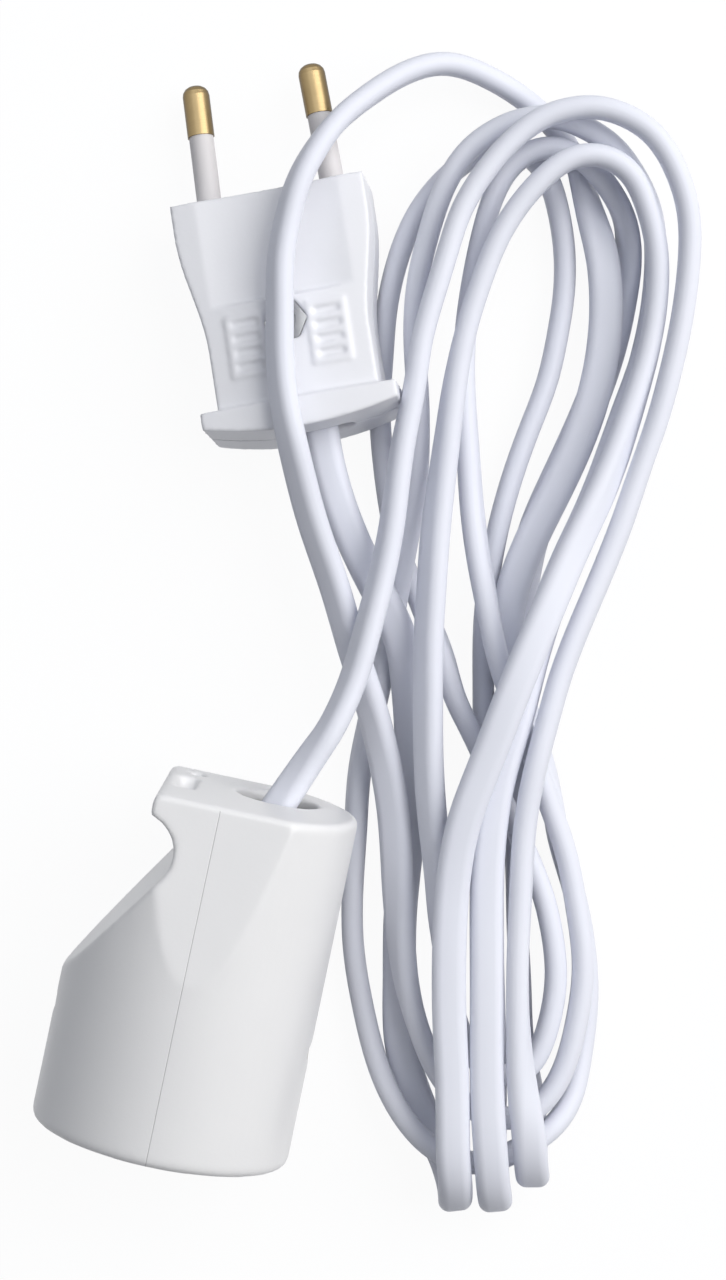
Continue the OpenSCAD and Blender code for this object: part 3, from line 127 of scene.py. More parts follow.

# %% [markdown]
# ## The cord's route
# A flat two-core cord bends easily one way only, so in a coil it stands on edge in the
# wide bends and lies flat where it folds back over itself. A helix can't say that, so the
# route is a list of points chosen one by one. Each is (x, y, z, roll) in the layout frame, in
# metres and degrees: roll 0 lies flat on the table and 90 stands on edge.

# %% Points along the coil, from the plug to the socket
CORD_W, CORD_T = 5.0 * MM, 3.2 * MM
TURNS = [
    (-0.003, 0.0185, 0.014, 0), (-0.0005, 0.0125, 0.0126, 5), (0.0025, 0.0065, 0.0112, 5),
    (0.0055, 0.0005, 0.0102, 10), (0.0065, -0.0065, 0.008, 20), (0.007, -0.014, 0.006, 30),
    (0.007, -0.0225, 0.004, 20), (0.0065, -0.0315, 0.0026, 0), (0.0055, -0.041, 0.002, 0),
    (0.0055, -0.051, 0.002, 0), (0.0055, -0.0595, 0.002, 0), (0.0075, -0.067, 0.0021, 0),
    (0.01, -0.073, 0.0022, 0), (0.012, -0.0765, 0.0023, 0), (0.0135, -0.081, 0.0045, 0),
    (0.0135, -0.0825, 0.0098, 0), (0.0135, -0.0795, 0.0151, 0), (0.013, -0.074, 0.0173, 0),
    (0.013, -0.065, 0.0174, 0), (0.0125, -0.055, 0.0174, 0), (0.0125, -0.045, 0.0179, 0),
    (0.013, -0.0355, 0.018, 0), (0.0145, -0.0265, 0.019, 0), (0.0175, -0.0185, 0.0196, 0),
    (0.0205, -0.0105, 0.0202, 0), (0.0235, -0.003, 0.02, 5), (0.027, 0.005, 0.0188, 15),
    (0.0305, 0.013, 0.0168, 30), (0.0345, 0.021, 0.0148, 45), (0.0375, 0.0285, 0.0134, 60),
    (0.04, 0.036, 0.0124, 75), (0.042, 0.043, 0.012, 85), (0.043, 0.05, 0.012, 90),
    (0.043, 0.0575, 0.0124, 90), (0.041, 0.0645, 0.0134, 90), (0.0385, 0.0685, 0.0144, 90),
    (0.0345, 0.0705, 0.015, 90), (0.03, 0.07, 0.0153, 90), (0.026, 0.067, 0.0153, 90),
    (0.0225, 0.063, 0.015, 90), (0.0195, 0.058, 0.0148, 90), (0.017, 0.0515, 0.0146, 90),
    (0.015, 0.045, 0.0146, 90), (0.0135, 0.038, 0.0146, 80), (0.0125, 0.031, 0.0148, 70),
    (0.0115, 0.0235, 0.0152, 60), (0.0105, 0.0155, 0.0156, 50), (0.01, 0.008, 0.0158, 50),
    (0.0095, 0, 0.0156, 50), (0.0095, -0.008, 0.0153, 50), (0.0095, -0.016, 0.015, 50),
    (0.01, -0.025, 0.0144, 50), (0.011, -0.0335, 0.013, 55), (0.0115, -0.041, 0.0116, 65),
    (0.0125, -0.048, 0.01, 80), (0.0135, -0.055, 0.009, 90), (0.0155, -0.06, 0.0086, 90),
    (0.0185, -0.0635, 0.0086, 90), (0.0225, -0.064, 0.0086, 90), (0.0255, -0.0615, 0.0086, 90),
    (0.0275, -0.056, 0.0086, 90), (0.0285, -0.049, 0.0086, 90), (0.0275, -0.0415, 0.0086, 90),
    (0.026, -0.036, 0.0086, 90), (0.0235, -0.03, 0.0086, 90), (0.021, -0.0245, 0.0086, 90),
    (0.0185, -0.019, 0.0086, 90), (0.016, -0.0135, 0.0086, 90), (0.0135, -0.0085, 0.0084, 85),
    (0.012, -0.003, 0.0076, 80), (0.01, 0.002, 0.006, 75), (0.008, 0.007, 0.0029, 85),
    (0.0055, 0.013, 0.0026, 90), (0.004, 0.0195, 0.0026, 90), (0.003, 0.027, 0.0026, 90),
    (0.0025, 0.0345, 0.0026, 90), (0.003, 0.042, 0.0026, 90), (0.0035, 0.049, 0.0026, 90),
    (0.005, 0.056, 0.0026, 90), (0.0075, 0.0625, 0.0026, 90), (0.011, 0.0675, 0.0026, 90),
    (0.0155, 0.0715, 0.0026, 90), (0.02, 0.0735, 0.0026, 90), (0.0245, 0.0725, 0.0026, 90),
    (0.0275, 0.069, 0.0026, 90), (0.029, 0.0645, 0.0026, 90), (0.03, 0.0585, 0.0026, 90),
    (0.03, 0.052, 0.0026, 90), (0.029, 0.0455, 0.0026, 90), (0.0275, 0.0385, 0.0026, 90),
    (0.025, 0.032, 0.0026, 90), (0.0225, 0.025, 0.0026, 90), (0.0205, 0.018, 0.0026, 90),
    (0.019, 0.0105, 0.0026, 90), (0.018, 0.002, 0.0026, 90), (0.018, -0.0075, 0.0026, 90),
    (0.018, -0.018, 0.0026, 90), (0.0185, -0.0285, 0.0026, 90), (0.019, -0.039, 0.0026, 80),
    (0.019, -0.0495, 0.0024, 60), (0.019, -0.0595, 0.0021, 30), (0.019, -0.0695, 0.002, 0),
    (0.019, -0.0765, 0.0023, 0), (0.0195, -0.0815, 0.0045, 0), (0.0195, -0.0825, 0.0098, 0),
    (0.019, -0.08, 0.0151, 0), (0.0185, -0.074, 0.0173, 0), (0.018, -0.066, 0.0172, 0),
    (0.018, -0.056, 0.0168, 0), (0.018, -0.0455, 0.0164, 0), (0.018, -0.0365, 0.016, 0),
    (0.0185, -0.0275, 0.016, 0), (0.02, -0.019, 0.016, 0), (0.0225, -0.011, 0.0156, 0),
    (0.0245, -0.003, 0.0146, 5), (0.027, 0.0045, 0.013, 15), (0.03, 0.012, 0.0108, 30),
    (0.0335, 0.0195, 0.0084, 45), (0.0365, 0.0275, 0.0062, 60), (0.039, 0.035, 0.005, 75),
    (0.0415, 0.0425, 0.0043, 90), (0.043, 0.05, 0.004, 90), (0.0435, 0.0575, 0.0043, 90),
    (0.0425, 0.064, 0.0066, 90), (0.0395, 0.0695, 0.0082, 90), (0.0365, 0.073, 0.009, 90),
    (0.0325, 0.0755, 0.0094, 90), (0.028, 0.077, 0.0094, 90), (0.023, 0.0765, 0.0092, 90),
    (0.0185, 0.0745, 0.0088, 90), (0.0145, 0.071, 0.0088, 90), (0.0115, 0.0655, 0.0088, 90),
    (0.0095, 0.059, 0.009, 90), (0.008, 0.0525, 0.0091, 90), (0.0075, 0.045, 0.0092, 90),
    (0.008, 0.0375, 0.0092, 85), (0.008, 0.03, 0.0092, 75), (0.0075, 0.022, 0.0092, 65),
    (0.006, 0.014, 0.0086, 60), (0.0045, 0.0055, 0.0066, 60), (0.003, -0.0025, 0.0044, 60),
    (0.0015, -0.0105, 0.0038, 70), (-0.0005, -0.019, 0.003, 80), (-0.001, -0.0275, 0.0028, 80),
    (-0.0015, -0.0365, 0.0026, 90), (-0.0015, -0.0455, 0.0026, 90), (0, -0.0545, 0.0027, 90),
    (0.002, -0.0625, 0.0044, 90), (0.005, -0.069, 0.0068, 90), (0.009, -0.074, 0.0075, 90),
    (0.0135, -0.0765, 0.0086, 90), (0.0185, -0.077, 0.0088, 90), (0.023, -0.075, 0.008, 90),
    (0.0275, -0.0725, 0.0072, 90), (0.031, -0.068, 0.0048, 90), (0.0325, -0.0615, 0.003, 90),
    (0.0335, -0.0535, 0.0026, 90), (0.033, -0.0455, 0.0026, 90), (0.0315, -0.0375, 0.0026, 90),
    (0.029, -0.0295, 0.0026, 90), (0.028, -0.0225, 0.0036, 85), (0.025, -0.015, 0.0055, 28),
    (0.023, -0.0085, 0.0058, 0), (0.0215, -0.002, 0.0058, 0), (0.0215, 0.004, 0.0058, 0),
    (0.023, 0.01, 0.0058, 0), (0.0255, 0.016, 0.0058, 0), (0.0285, 0.022, 0.0058, 0),
    (0.0315, 0.0285, 0.0058, 0), (0.034, 0.0355, 0.0058, 0), (0.0355, 0.0425, 0.0058, 0),
    (0.036, 0.0495, 0.0062, 0), (0.0355, 0.0565, 0.0064, 10), (0.034, 0.0625, 0.0048, 40),
    (0.0325, 0.0685, 0.0028, 75), (0.031, 0.073, 0.0026, 85), (0.0275, 0.0775, 0.0026, 90),
    (0.0235, 0.081, 0.0028, 90), (0.018, 0.084, 0.004, 90), (0.012, 0.0855, 0.006, 90),
    (0.006, 0.0835, 0.0084, 90), (0.001, 0.08, 0.011, 90), (-0.0035, 0.076, 0.0138, 85),
    (-0.007, 0.071, 0.0164, 75), (-0.0095, 0.066, 0.0178, 70), (-0.011, 0.0605, 0.018, 65),
    (-0.012, 0.0545, 0.0187, 62), (-0.012, 0.0485, 0.0193, 60), (-0.012, 0.042, 0.0204, 58),
    (-0.0115, 0.0355, 0.0216, 55), (-0.0105, 0.03, 0.023, 50), (-0.009, 0.0235, 0.0216, 45),
    (-0.007, 0.016, 0.0196, 45), (-0.004, 0.0075, 0.017, 45), (-0.0015, -0.0015, 0.0148, 45),
    (0.001, -0.009, 0.0126, 40), (0.003, -0.017, 0.0108, 30), (0.0045, -0.0255, 0.0096, 25),
    (0.005, -0.034, 0.009, 30), (0.0055, -0.043, 0.0086, 50), (0.0065, -0.051, 0.0086, 75),
    (0.0085, -0.058, 0.0086, 90), (0.0115, -0.0645, 0.0086, 90), (0.016, -0.069, 0.0088, 90),
    (0.0215, -0.0705, 0.0088, 90), (0.026, -0.0685, 0.0088, 90), (0.0295, -0.0635, 0.0086, 90),
    (0.0315, -0.056, 0.0086, 90), (0.0325, -0.048, 0.0086, 90), (0.0315, -0.04, 0.0086, 90),
    (0.03, -0.0315, 0.0086, 90), (0.0275, -0.0245, 0.0094, 90), (0.025, -0.017, 0.0105, 90),
    (0.0225, -0.0105, 0.0106, 90), (0.02, -0.0035, 0.0106, 85), (0.0185, 0.004, 0.0102, 80),
    (0.017, 0.012, 0.0096, 75), (0.016, 0.02, 0.0092, 75), (0.0155, 0.028, 0.009, 80),
    (0.015, 0.036, 0.0088, 85), (0.015, 0.044, 0.0087, 90), (0.016, 0.052, 0.0086, 90),
    (0.0175, 0.0595, 0.0086, 90), (0.0195, 0.066, 0.0086, 90), (0.0225, 0.0705, 0.0084, 90),
    (0.0265, 0.0725, 0.0082, 90), (0.0305, 0.072, 0.0082, 90), (0.034, 0.0695, 0.008, 90),
    (0.037, 0.066, 0.0062, 90), (0.039, 0.062, 0.0048, 85), (0.0395, 0.057, 0.003, 60),
    (0.0385, 0.051, 0.002, 25), (0.037, 0.044, 0.0018, 0), (0.0345, 0.0365, 0.0018, 0),
    (0.0315, 0.0295, 0.0018, 0), (0.0285, 0.023, 0.0018, 0), (0.0255, 0.016, 0.0018, 0),
    (0.024, 0.009, 0.0018, 0), (0.023, 0.0015, 0.0018, 0), (0.023, -0.0065, 0.0018, 0),
    (0.023, -0.0155, 0.0018, 5), (0.023, -0.0245, 0.0022, 50), (0.023, -0.0335, 0.0026, 80),
    (0.023, -0.0425, 0.0026, 90), (0.0235, -0.0515, 0.0026, 85), (0.0235, -0.0595, 0.0025, 70),
    (0.0245, -0.067, 0.0022, 25), (0.025, -0.073, 0.0023, 0), (0.025, -0.078, 0.0044, 0),
    (0.025, -0.079, 0.0093, 0), (0.0245, -0.0765, 0.0142, 0), (0.024, -0.071, 0.0163, 10),
    (0.023, -0.064, 0.0166, 50), (0.0225, -0.055, 0.0164, 80), (0.0225, -0.046, 0.016, 85),
    (0.023, -0.0365, 0.0156, 80), (0.0235, -0.0275, 0.0154, 80), (0.025, -0.019, 0.016, 80),
    (0.027, -0.0115, 0.0156, 80), (0.029, -0.0045, 0.015, 80), (0.032, 0.003, 0.0144, 80),
    (0.035, 0.01, 0.0138, 80), (0.038, 0.0175, 0.0134, 80), (0.0405, 0.025, 0.0132, 85),
    (0.043, 0.032, 0.0132, 90), (0.045, 0.0395, 0.0133, 90), (0.0465, 0.0465, 0.0136, 90),
    (0.0475, 0.0545, 0.014, 90), (0.0475, 0.062, 0.0145, 90), (0.0455, 0.0685, 0.015, 90),
    (0.042, 0.074, 0.015, 90), (0.0365, 0.077, 0.015, 90), (0.0315, 0.0775, 0.015, 90),
    (0.026, 0.076, 0.015, 90), (0.0215, 0.0725, 0.015, 90), (0.018, 0.0685, 0.015, 90),
    (0.0145, 0.063, 0.015, 90), (0.0125, 0.057, 0.0152, 90), (0.0105, 0.0505, 0.0155, 90),
    (0.0085, 0.0435, 0.0159, 90), (0.0075, 0.0365, 0.0164, 85), (0.006, 0.0295, 0.017, 80),
    (0.005, 0.023, 0.0176, 75), (0.004, 0.0155, 0.0182, 70), (0.0025, 0.0085, 0.019, 65),
    (0.0005, 0.001, 0.0204, 60), (-0.0015, -0.006, 0.0212, 60), (-0.0045, -0.0125, 0.0228, 60),
]
print("points in the coil:", len(TURNS))

# %% [markdown]
# ## The cord's two ends
# Both ends run inside a housing, where the cord is clamped. Their points are given in the
# housings' own frames, so the cord leaves each one straight through its hole.

# %% Ends inside the plug and the socket
PLUG_END_ROLL = 6
PLUG_END = [(2, -28), (2, -36), (2.2, -42)]
# (across, towards the table, from the cable end, roll), in mm and degrees
SOCKET_END = [(10.4, 1.5, 8, 50), (7.2, 1, 0, 30), (5.3, -0.1, -5, 15),
              (4.9, 0, -9, 0), (4.9, 0, -13, 0)]


def plug_point(x, y):
    p = from_layout @ IN_PLUG @ Vector((x * MM, y * MM, 0))
    return (p.x, p.y, p.z, PLUG_END_ROLL)


def socket_point(x, y, s, roll):
    p = from_layout @ IN_SOCKET @ Vector((x * MM, y * MM, SOCKET_LEN + s * MM))
    return (p.x, p.y, p.z, roll)


ROUTE = ([plug_point(*p) for p in PLUG_END] + TURNS + [socket_point(*p) for p in SOCKET_END])
print("points in all:", len(ROUTE))

# %% [markdown]
# ## One smooth line
# A cubic B-spline has no kinks in its bends, which a stiff jacket can't have either, but it
# cuts its corners. Each point is first moved outwards by a sixth of its second difference,
# so that the line passes close by the points as they were chosen.

# %% Sample the line
STEPS = 6


def blend_weights(t):
    return ((1 - t) ** 3, 3 * t ** 3 - 6 * t * t + 4, -3 * t ** 3 + 3 * t * t + 3 * t + 1, t ** 3)


def with_ghost_ends(p):
    return [2 * p[0] - p[1]] + p + [2 * p[-1] - p[-2]]


def curve_samples(points, steps):
    p = with_ghost_ends([Vector(q) for q in points])
    q = [p[i] - (p[i - 1] - 2 * p[i] + p[i + 1]) / 6 for i in range(1, len(p) - 1)]
    q = with_ghost_ends(q)
    out = []
    for i in range(1, len(q) - 2):
        last_span = i == len(q) - 3
        for k in range(steps + last_span):
            w = blend_weights(k / steps)
            out.append(sum((q[i - 1 + j] * w[j] for j in range(4)), Vector((0, 0, 0, 0))) / 6)
    return out


samples = curve_samples(ROUTE, STEPS)
print("samples:", len(samples))

# %% [markdown]
# ## Which way the broad side faces
# At each sample the section needs the cord's heading and its broad direction. The roll
# gives the broad direction against the table. In an upright fold the heading has no level
# part, so the direction is carried over from the sample before, or the cord would flip.

# %% Headings and broad directions
LEVEL_ENOUGH = 1e-3


def broad_ways(samples):
    pts = [s.to_3d() for s in samples]
    heads, broads = [], []
    for i, s in enumerate(samples):
        t = (pts[min(i + 1, len(pts) - 1)] - pts[max(i - 1, 0)]).normalized()
        flat = math.hypot(t.x, t.y)
        side = Vector((-t.y, t.x, 0)) / max(flat, LEVEL_ENOUGH)
        a = math.radians(s[3])
        want = math.cos(a) * side + math.sin(a) * t.cross(side)
        if broads:
            w = min(1, 2 * flat * flat)
            last = broads[-1] - broads[-1].dot(t) * t
            want = (1 - w) * last + w * (want if want.dot(broads[-1]) >= 0 else -want)
        want = (want - want.dot(t) * t).normalized()
        heads.append(t)
        broads.append(want)
    return pts, heads, broads


line, heads, broads = broad_ways(samples)
length = sum((b - a).length for a, b in zip(line, line[1:]))
print("cord length, m:", round(length, 3))

# %% [markdown]
# ## The cord's mesh
# The jacket is extruded, so one section swept along the line is the whole cord: two half
# circles joined by flats. The sweep also writes a UV map with the way round the section
# and the metres run, so that the jacket's streaks can follow the cord.

# %% Section
JACKET_SIDES = 28


def oval(width, thick, sides):
    """Two half circles joined by flats, as (across, up) pairs."""
    r = thick / 2
    per = sides // 2
    out = []
    for side in (1, -1):
        for k in range(per):
            a = math.pi * (k / (per - 1)) - math.pi / 2
            out.append((side * ((width / 2 - r) + r * math.cos(a)), side * r * math.sin(a)))
    return out


print("section points:", len(oval(CORD_W, CORD_T, JACKET_SIDES)))


# %% Sweep
def sweep(name, line, heads, broads, ring, to_row):
    mesh = bpy.data.meshes.new(name)
    bm = bmesh.new()
    uv = bm.loops.layers.uv.new("run")
    n = len(ring)
    gone = [0.0]
    for a, b in zip(line, line[1:]):
        gone.append(gone[-1] + (b - a).length)
    rows = []
    for p, t, b in zip(line, heads, broads):
        up = t.cross(b)
        rows.append([bm.verts.new(to_row @ (p + b * u + up * v)) for u, v in ring])
    for i in range(len(rows) - 1):
        for k in range(n):
            j = (k + 1) % n
            f = bm.faces.new((rows[i][k], rows[i][j], rows[i + 1][j], rows[i + 1][k]))
            f.smooth = True
            for loop, at in zip(f.loops, ((k, i), (k + 1, i), (k + 1, i + 1), (k, i + 1))):
                loop[uv].uv = (at[0] / n, gone[at[1]])
    bm.faces.new(list(reversed(rows[0])))
    bm.faces.new(rows[-1])
    bmesh.ops.recalc_face_normals(bm, faces=bm.faces)
    bm.to_mesh(mesh)
    bm.free()
    obj = bpy.data.objects.new(name, mesh)
    bpy.context.scene.collection.objects.link(obj)
    return obj


cord = sweep("cord_jacket", line, heads, broads, oval(CORD_W, CORD_T, JACKET_SIDES), IN_LAYOUT)
print("cord faces:", len(cord.data.polygons))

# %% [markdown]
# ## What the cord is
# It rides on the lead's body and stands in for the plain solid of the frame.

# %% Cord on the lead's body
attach(cord, ROOT)
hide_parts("cord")

# %% [markdown]
# ## Helpers for the materials
# Every finish here is a Principled shader whose colour and roughness change a little over
# the surface, and most have a fine bump too. These small helpers add the nodes for that and
# hand back the socket to link on, so each material below reads as a list of its values.

# %% Material helpers
NOISE_LOW, NOISE_HIGH = 0.3, 0.7


def new_material(name):
    m = bpy.data.materials.new(name)
    m.use_nodes = True
    nt = m.node_tree
    return m, nt, nt.nodes["Principled BSDF"]


def map_range(nt, source, lo, hi, a=NOISE_LOW, b=NOISE_HIGH):
    r = nt.nodes.new("ShaderNodeMapRange")
    r.inputs["From Min"].default_value = a
    r.inputs["From Max"].default_value = b
    r.inputs["To Min"].default_value = lo
    r.inputs["To Max"].default_value = hi
    nt.links.new(source, r.inputs["Value"])
    return r.outputs["Result"]


def blend(nt, fac, a, b):
    """Mix two colours; each is a plain colour or a socket."""
    m = nt.nodes.new("ShaderNodeMix")
    m.data_type = "RGBA"
    for name, value in (("A", a), ("B", b)):
        if isinstance(value, tuple):
            m.inputs[name].default_value = (*value, 1)
        else:
            nt.links.new(value, m.inputs[name])
    nt.links.new(fac, m.inputs["Factor"])
    return m.outputs["Result"]


def bump(nt, height, dist, strength, normal=None):
    b = nt.nodes.new("ShaderNodeBump")
    b.inputs["Distance"].default_value = dist
    b.inputs["Strength"].default_value = strength
    nt.links.new(height, b.inputs["Height"])
    if normal is not None:
        nt.links.new(normal, b.inputs["Normal"])
    return b.outputs["Normal"]


def math_node(nt, operation, a, b=None):
    """One Math node; each input is a plain number or a socket."""
    m = nt.nodes.new("ShaderNodeMath")
    m.operation = operation
    for i, value in enumerate((a, b)):
        if isinstance(value, (int, float)):
            m.inputs[i].default_value = value
        elif value is not None:
            nt.links.new(value, m.inputs[i])
    return m.outputs[0]


print("material helpers ready")

# %% [markdown]
# ## Surface variation, shared by all the finishes
# No real part is one even colour: moulded plastic drifts a little in tone over a
# centimetre or two, and its skin has a fine grain. Both come from noise on the piece's own
# coordinates. They are one node group, built once, and each material places it with its
# own scales.

# %% Node group: surface variation
def surface_group():
    g = bpy.data.node_groups.new("surface variation", "ShaderNodeTree")
    for name in ("Drift Scale", "Drift Roughness", "Grain Scale", "Grain Detail",
                 "Grain Roughness"):
        g.interface.new_socket(name=name, in_out="INPUT", socket_type="NodeSocketFloat")
    for name in ("Drift", "Grain"):
        g.interface.new_socket(name=name, in_out="OUTPUT", socket_type="NodeSocketFloat")
    given = g.nodes.new("NodeGroupInput")
    result = g.nodes.new("NodeGroupOutput")
    at = g.nodes.new("ShaderNodeTexCoord")
    for name in ("Drift", "Grain"):
        n = g.nodes.new("ShaderNodeTexNoise")
        n.inputs["Detail"].default_value = 3
        for part in ("Scale", "Detail", "Roughness"):
            if f"{name} {part}" in given.outputs:
                g.links.new(given.outputs[f"{name} {part}"], n.inputs[part])
        g.links.new(at.outputs["Object"], n.inputs["Vector"])
        g.links.new(n.outputs["Fac"], result.inputs[name])
    return g


SURFACE = surface_group()
print("group sockets:", [s.name for s in SURFACE.interface.items_tree])


# %% Place the group
def surface(nt, drift_scale, drift_rough=0.5, grain_scale=1800, grain_detail=4, grain_rough=0.6):
    node = nt.nodes.new("ShaderNodeGroup")
    node.node_tree = SURFACE
    for name, value in (("Drift Scale", drift_scale), ("Drift Roughness", drift_rough),
                        ("Grain Scale", grain_scale), ("Grain Detail", grain_detail),
                        ("Grain Roughness", grain_rough)):
        node.inputs[name].default_value = value
    return node.outputs["Drift"], node.outputs["Grain"]


print("surface variation ready")

# %% [markdown]
# ## The mould line
# A housing moulded in two halves keeps a hair line where they met. On the socket it runs
# along the axis and ends at the cable end. A groove a fifth of a millimetre wide is too
# fine for the mesh, so the material carries it, as a mask on the piece's own X and Y: the
# mask bumps the groove in and darkens its colour as painted shade.

# %% Mould line mask
MOULD_LINE_X = -0.6 * MM
MOULD_LINE_HALF = 0.11 * MM
MOULD_LINE_DEPTH = 0.06 * MM
MOULD_LINE_END = (IN_SOCKET @ Vector((0, -FLAT_HALF, SOCKET_LEN))).y - 0.6 * MM
# How far the line's colour is darkened: painted shade in the groove.
MOULD_LINE_PAINTED_SHADE = 0.72


def clear_of_mould_line(nt):
    """0 on the line and 1 away from it."""
    tc = nt.nodes.new("ShaderNodeTexCoord")
    part = nt.nodes.new("ShaderNodeSeparateXYZ")
    nt.links.new(tc.outputs["Object"], part.inputs[0])
    off = math_node(nt, "SUBTRACT", part.outputs["X"], MOULD_LINE_X)
    beside = map_range(nt, math_node(nt, "ABSOLUTE", off), 0, 1, 0, MOULD_LINE_HALF)
    past_end = math_node(nt, "GREATER_THAN", part.outputs["Y"], MOULD_LINE_END)
    return math_node(nt, "MAXIMUM", beside, past_end)


print("mould line ends at y, m:", round(MOULD_LINE_END, 4))

# %% [markdown]
# ## Plastic
# The shells, the inserts, the sleeves and the wires are all moulded or extruded plastic,
# so they share one recipe: two close tones, a satin roughness and a fine grain. On the
# larger ones a Bevel node softens the light on what edges are left.

# %% Plastic
PLASTIC_DRIFT = 60
PLASTIC_GRAIN_HEIGHT = 0.02 * MM
GRAIN_STRENGTH = 0.6
EDGE_SAMPLES = 8


def plastic(name, tone_a, tone_b, rough, edge=0.0, mould_line=False):
    m, nt, p = new_material(name)
    drift, grain = surface(nt, PLASTIC_DRIFT)
    colour = blend(nt, drift, tone_a, tone_b)
    nt.links.new(map_range(nt, drift, *rough), p.inputs["Roughness"])
    normal = None
    if edge:
        soft = nt.nodes.new("ShaderNodeBevel")
        soft.samples = EDGE_SAMPLES
        soft.inputs["Radius"].default_value = edge
        normal = soft.outputs["Normal"]
    if mould_line:
        clear = clear_of_mould_line(nt)
        normal = bump(nt, clear, MOULD_LINE_DEPTH, 0.8, normal)
        # The line's colour is darkened as painted shade in the groove.
        colour = blend(nt, clear, tuple(MOULD_LINE_PAINTED_SHADE * v for v in tone_a), colour)
    nt.links.new(colour, p.inputs["Base Color"])
    nt.links.new(bump(nt, grain, PLASTIC_GRAIN_HEIGHT, GRAIN_STRENGTH, normal), p.inputs["Normal"])
    return m


print("plastic ready")

# %% [markdown]
# ## Brass
# The pins are turned on a lathe, which leaves fine rings across them, and handling dulls
# them. The rings are one-dimensional noise along the pin's axis. Bare metal looks darker
# where it turns away and mirrors the sides of the room; a Layer Weight paints that darker
# reflection into the colour at the rim.

# %% Brass
BRASS_DARK, BRASS_LIGHT = (0.29, 0.215, 0.11), (0.38, 0.285, 0.15)
# Colour at the rim: a painted reflection, darker than the brass itself.
BRASS_PAINTED_RIM_REFLECTION = (0.10, 0.068, 0.03)
BRASS_ROUGH = (0.30, 0.40)
RINGS_PER_M = 5200


def brass(name):
    m, nt, p = new_material(name)
    tc = nt.nodes.new("ShaderNodeTexCoord")
    along = nt.nodes.new("ShaderNodeVectorMath")
    along.operation = "DOT_PRODUCT"
    along.inputs[1].default_value = IN_PLUG.to_3x3() @ Vector((0, 1, 0))
    nt.links.new(tc.outputs["Object"], along.inputs[0])
    rings = nt.nodes.new("ShaderNodeTexNoise")
    rings.noise_dimensions = "1D"
    rings.inputs["Scale"].default_value = RINGS_PER_M
    rings.inputs["Detail"].default_value = 2
    nt.links.new(along.outputs["Value"], rings.inputs["W"])
    drift, _ = surface(nt, 240, drift_rough=0.6)
    # The Layer Weight darkens the colour towards the rim: a painted reflection of darker
    # surroundings.
    turned = nt.nodes.new("ShaderNodeLayerWeight")
    turned.inputs["Blend"].default_value = 0.5
    painted_rim_reflection = map_range(nt, turned.outputs["Facing"], 0, 1, 0.15, 0.8)
    colour = blend(nt, painted_rim_reflection, blend(nt, drift, BRASS_DARK, BRASS_LIGHT), BRASS_PAINTED_RIM_REFLECTION)
    nt.links.new(colour, p.inputs["Base Color"])
    nt.links.new(map_range(nt, rings.outputs["Fac"], *BRASS_ROUGH), p.inputs["Roughness"])
    nt.links.new(bump(nt, rings.outputs["Fac"], 0.02 * MM, 0.35), p.inputs["Normal"])
    p.inputs["Metallic"].default_value = 1.0
    return m


print("brass ready")

# %% [markdown]
# ## Steel
# Screws, the nut and the spring are plain steel with a satin finish. They are small, so
# a slight drift in tone and roughness is all that shows.

# %% Steel
STEEL_DRIFT = 500
STEEL_ROUGH = (0.26, 0.34)


def steel(name, tone):
    m, nt, p = new_material(name)
    drift, _ = surface(nt, STEEL_DRIFT)
    nt.links.new(blend(nt, drift, (tone * 0.94,) * 3, (tone * 1.06,) * 3), p.inputs["Base Color"])
    nt.links.new(map_range(nt, drift, *STEEL_ROUGH), p.inputs["Roughness"])
    p.inputs["Metallic"].default_value = 1.0
    return m


print("steel ready")

# %% [markdown]
# ## The cord's jacket
# An extruded jacket is satin, slightly bluish white and faintly streaked along its length.
# The streaks read the sweep's UV map, so they follow the cord round every bend.

# %% Jacket
JACKET_DARK, JACKET_LIGHT = (0.755, 0.775, 0.86), (0.80, 0.815, 0.885)
JACKET_ROUGH = (0.46, 0.58)
STREAKS_AROUND, STREAKS_PER_M = 18, 9


def jacket(name):
    m, nt, p = new_material(name)
    uv = nt.nodes.new("ShaderNodeUVMap")
    uv.uv_map = "run"
    stretch = nt.nodes.new("ShaderNodeMapping")
    stretch.inputs["Scale"].default_value = (STREAKS_AROUND, STREAKS_PER_M, 1)
    nt.links.new(uv.outputs["UV"], stretch.inputs["Vector"])
    streak = nt.nodes.new("ShaderNodeTexNoise")
    streak.inputs["Scale"].default_value = 1.0
    streak.inputs["Detail"].default_value = 3
    nt.links.new(stretch.outputs["Vector"], streak.inputs["Vector"])
    drift, grain = surface(nt, 45, grain_scale=2600, grain_detail=3, grain_rough=0.5)
    nt.links.new(blend(nt, drift, JACKET_DARK, JACKET_LIGHT), p.inputs["Base Color"])
    nt.links.new(map_range(nt, streak.outputs["Fac"], *JACKET_ROUGH), p.inputs["Roughness"])
    streaked = bump(nt, streak.outputs["Fac"], 0.04 * MM, 0.4)
    nt.links.new(bump(nt, grain, 0.01 * MM, 0.4, streaked), p.inputs["Normal"])
    p.inputs["Specular IOR Level"].default_value = 0.32
    return m


cord.data.materials.append(jacket("cord_jacket"))
print("cord wears", cord.data.materials[0].name)
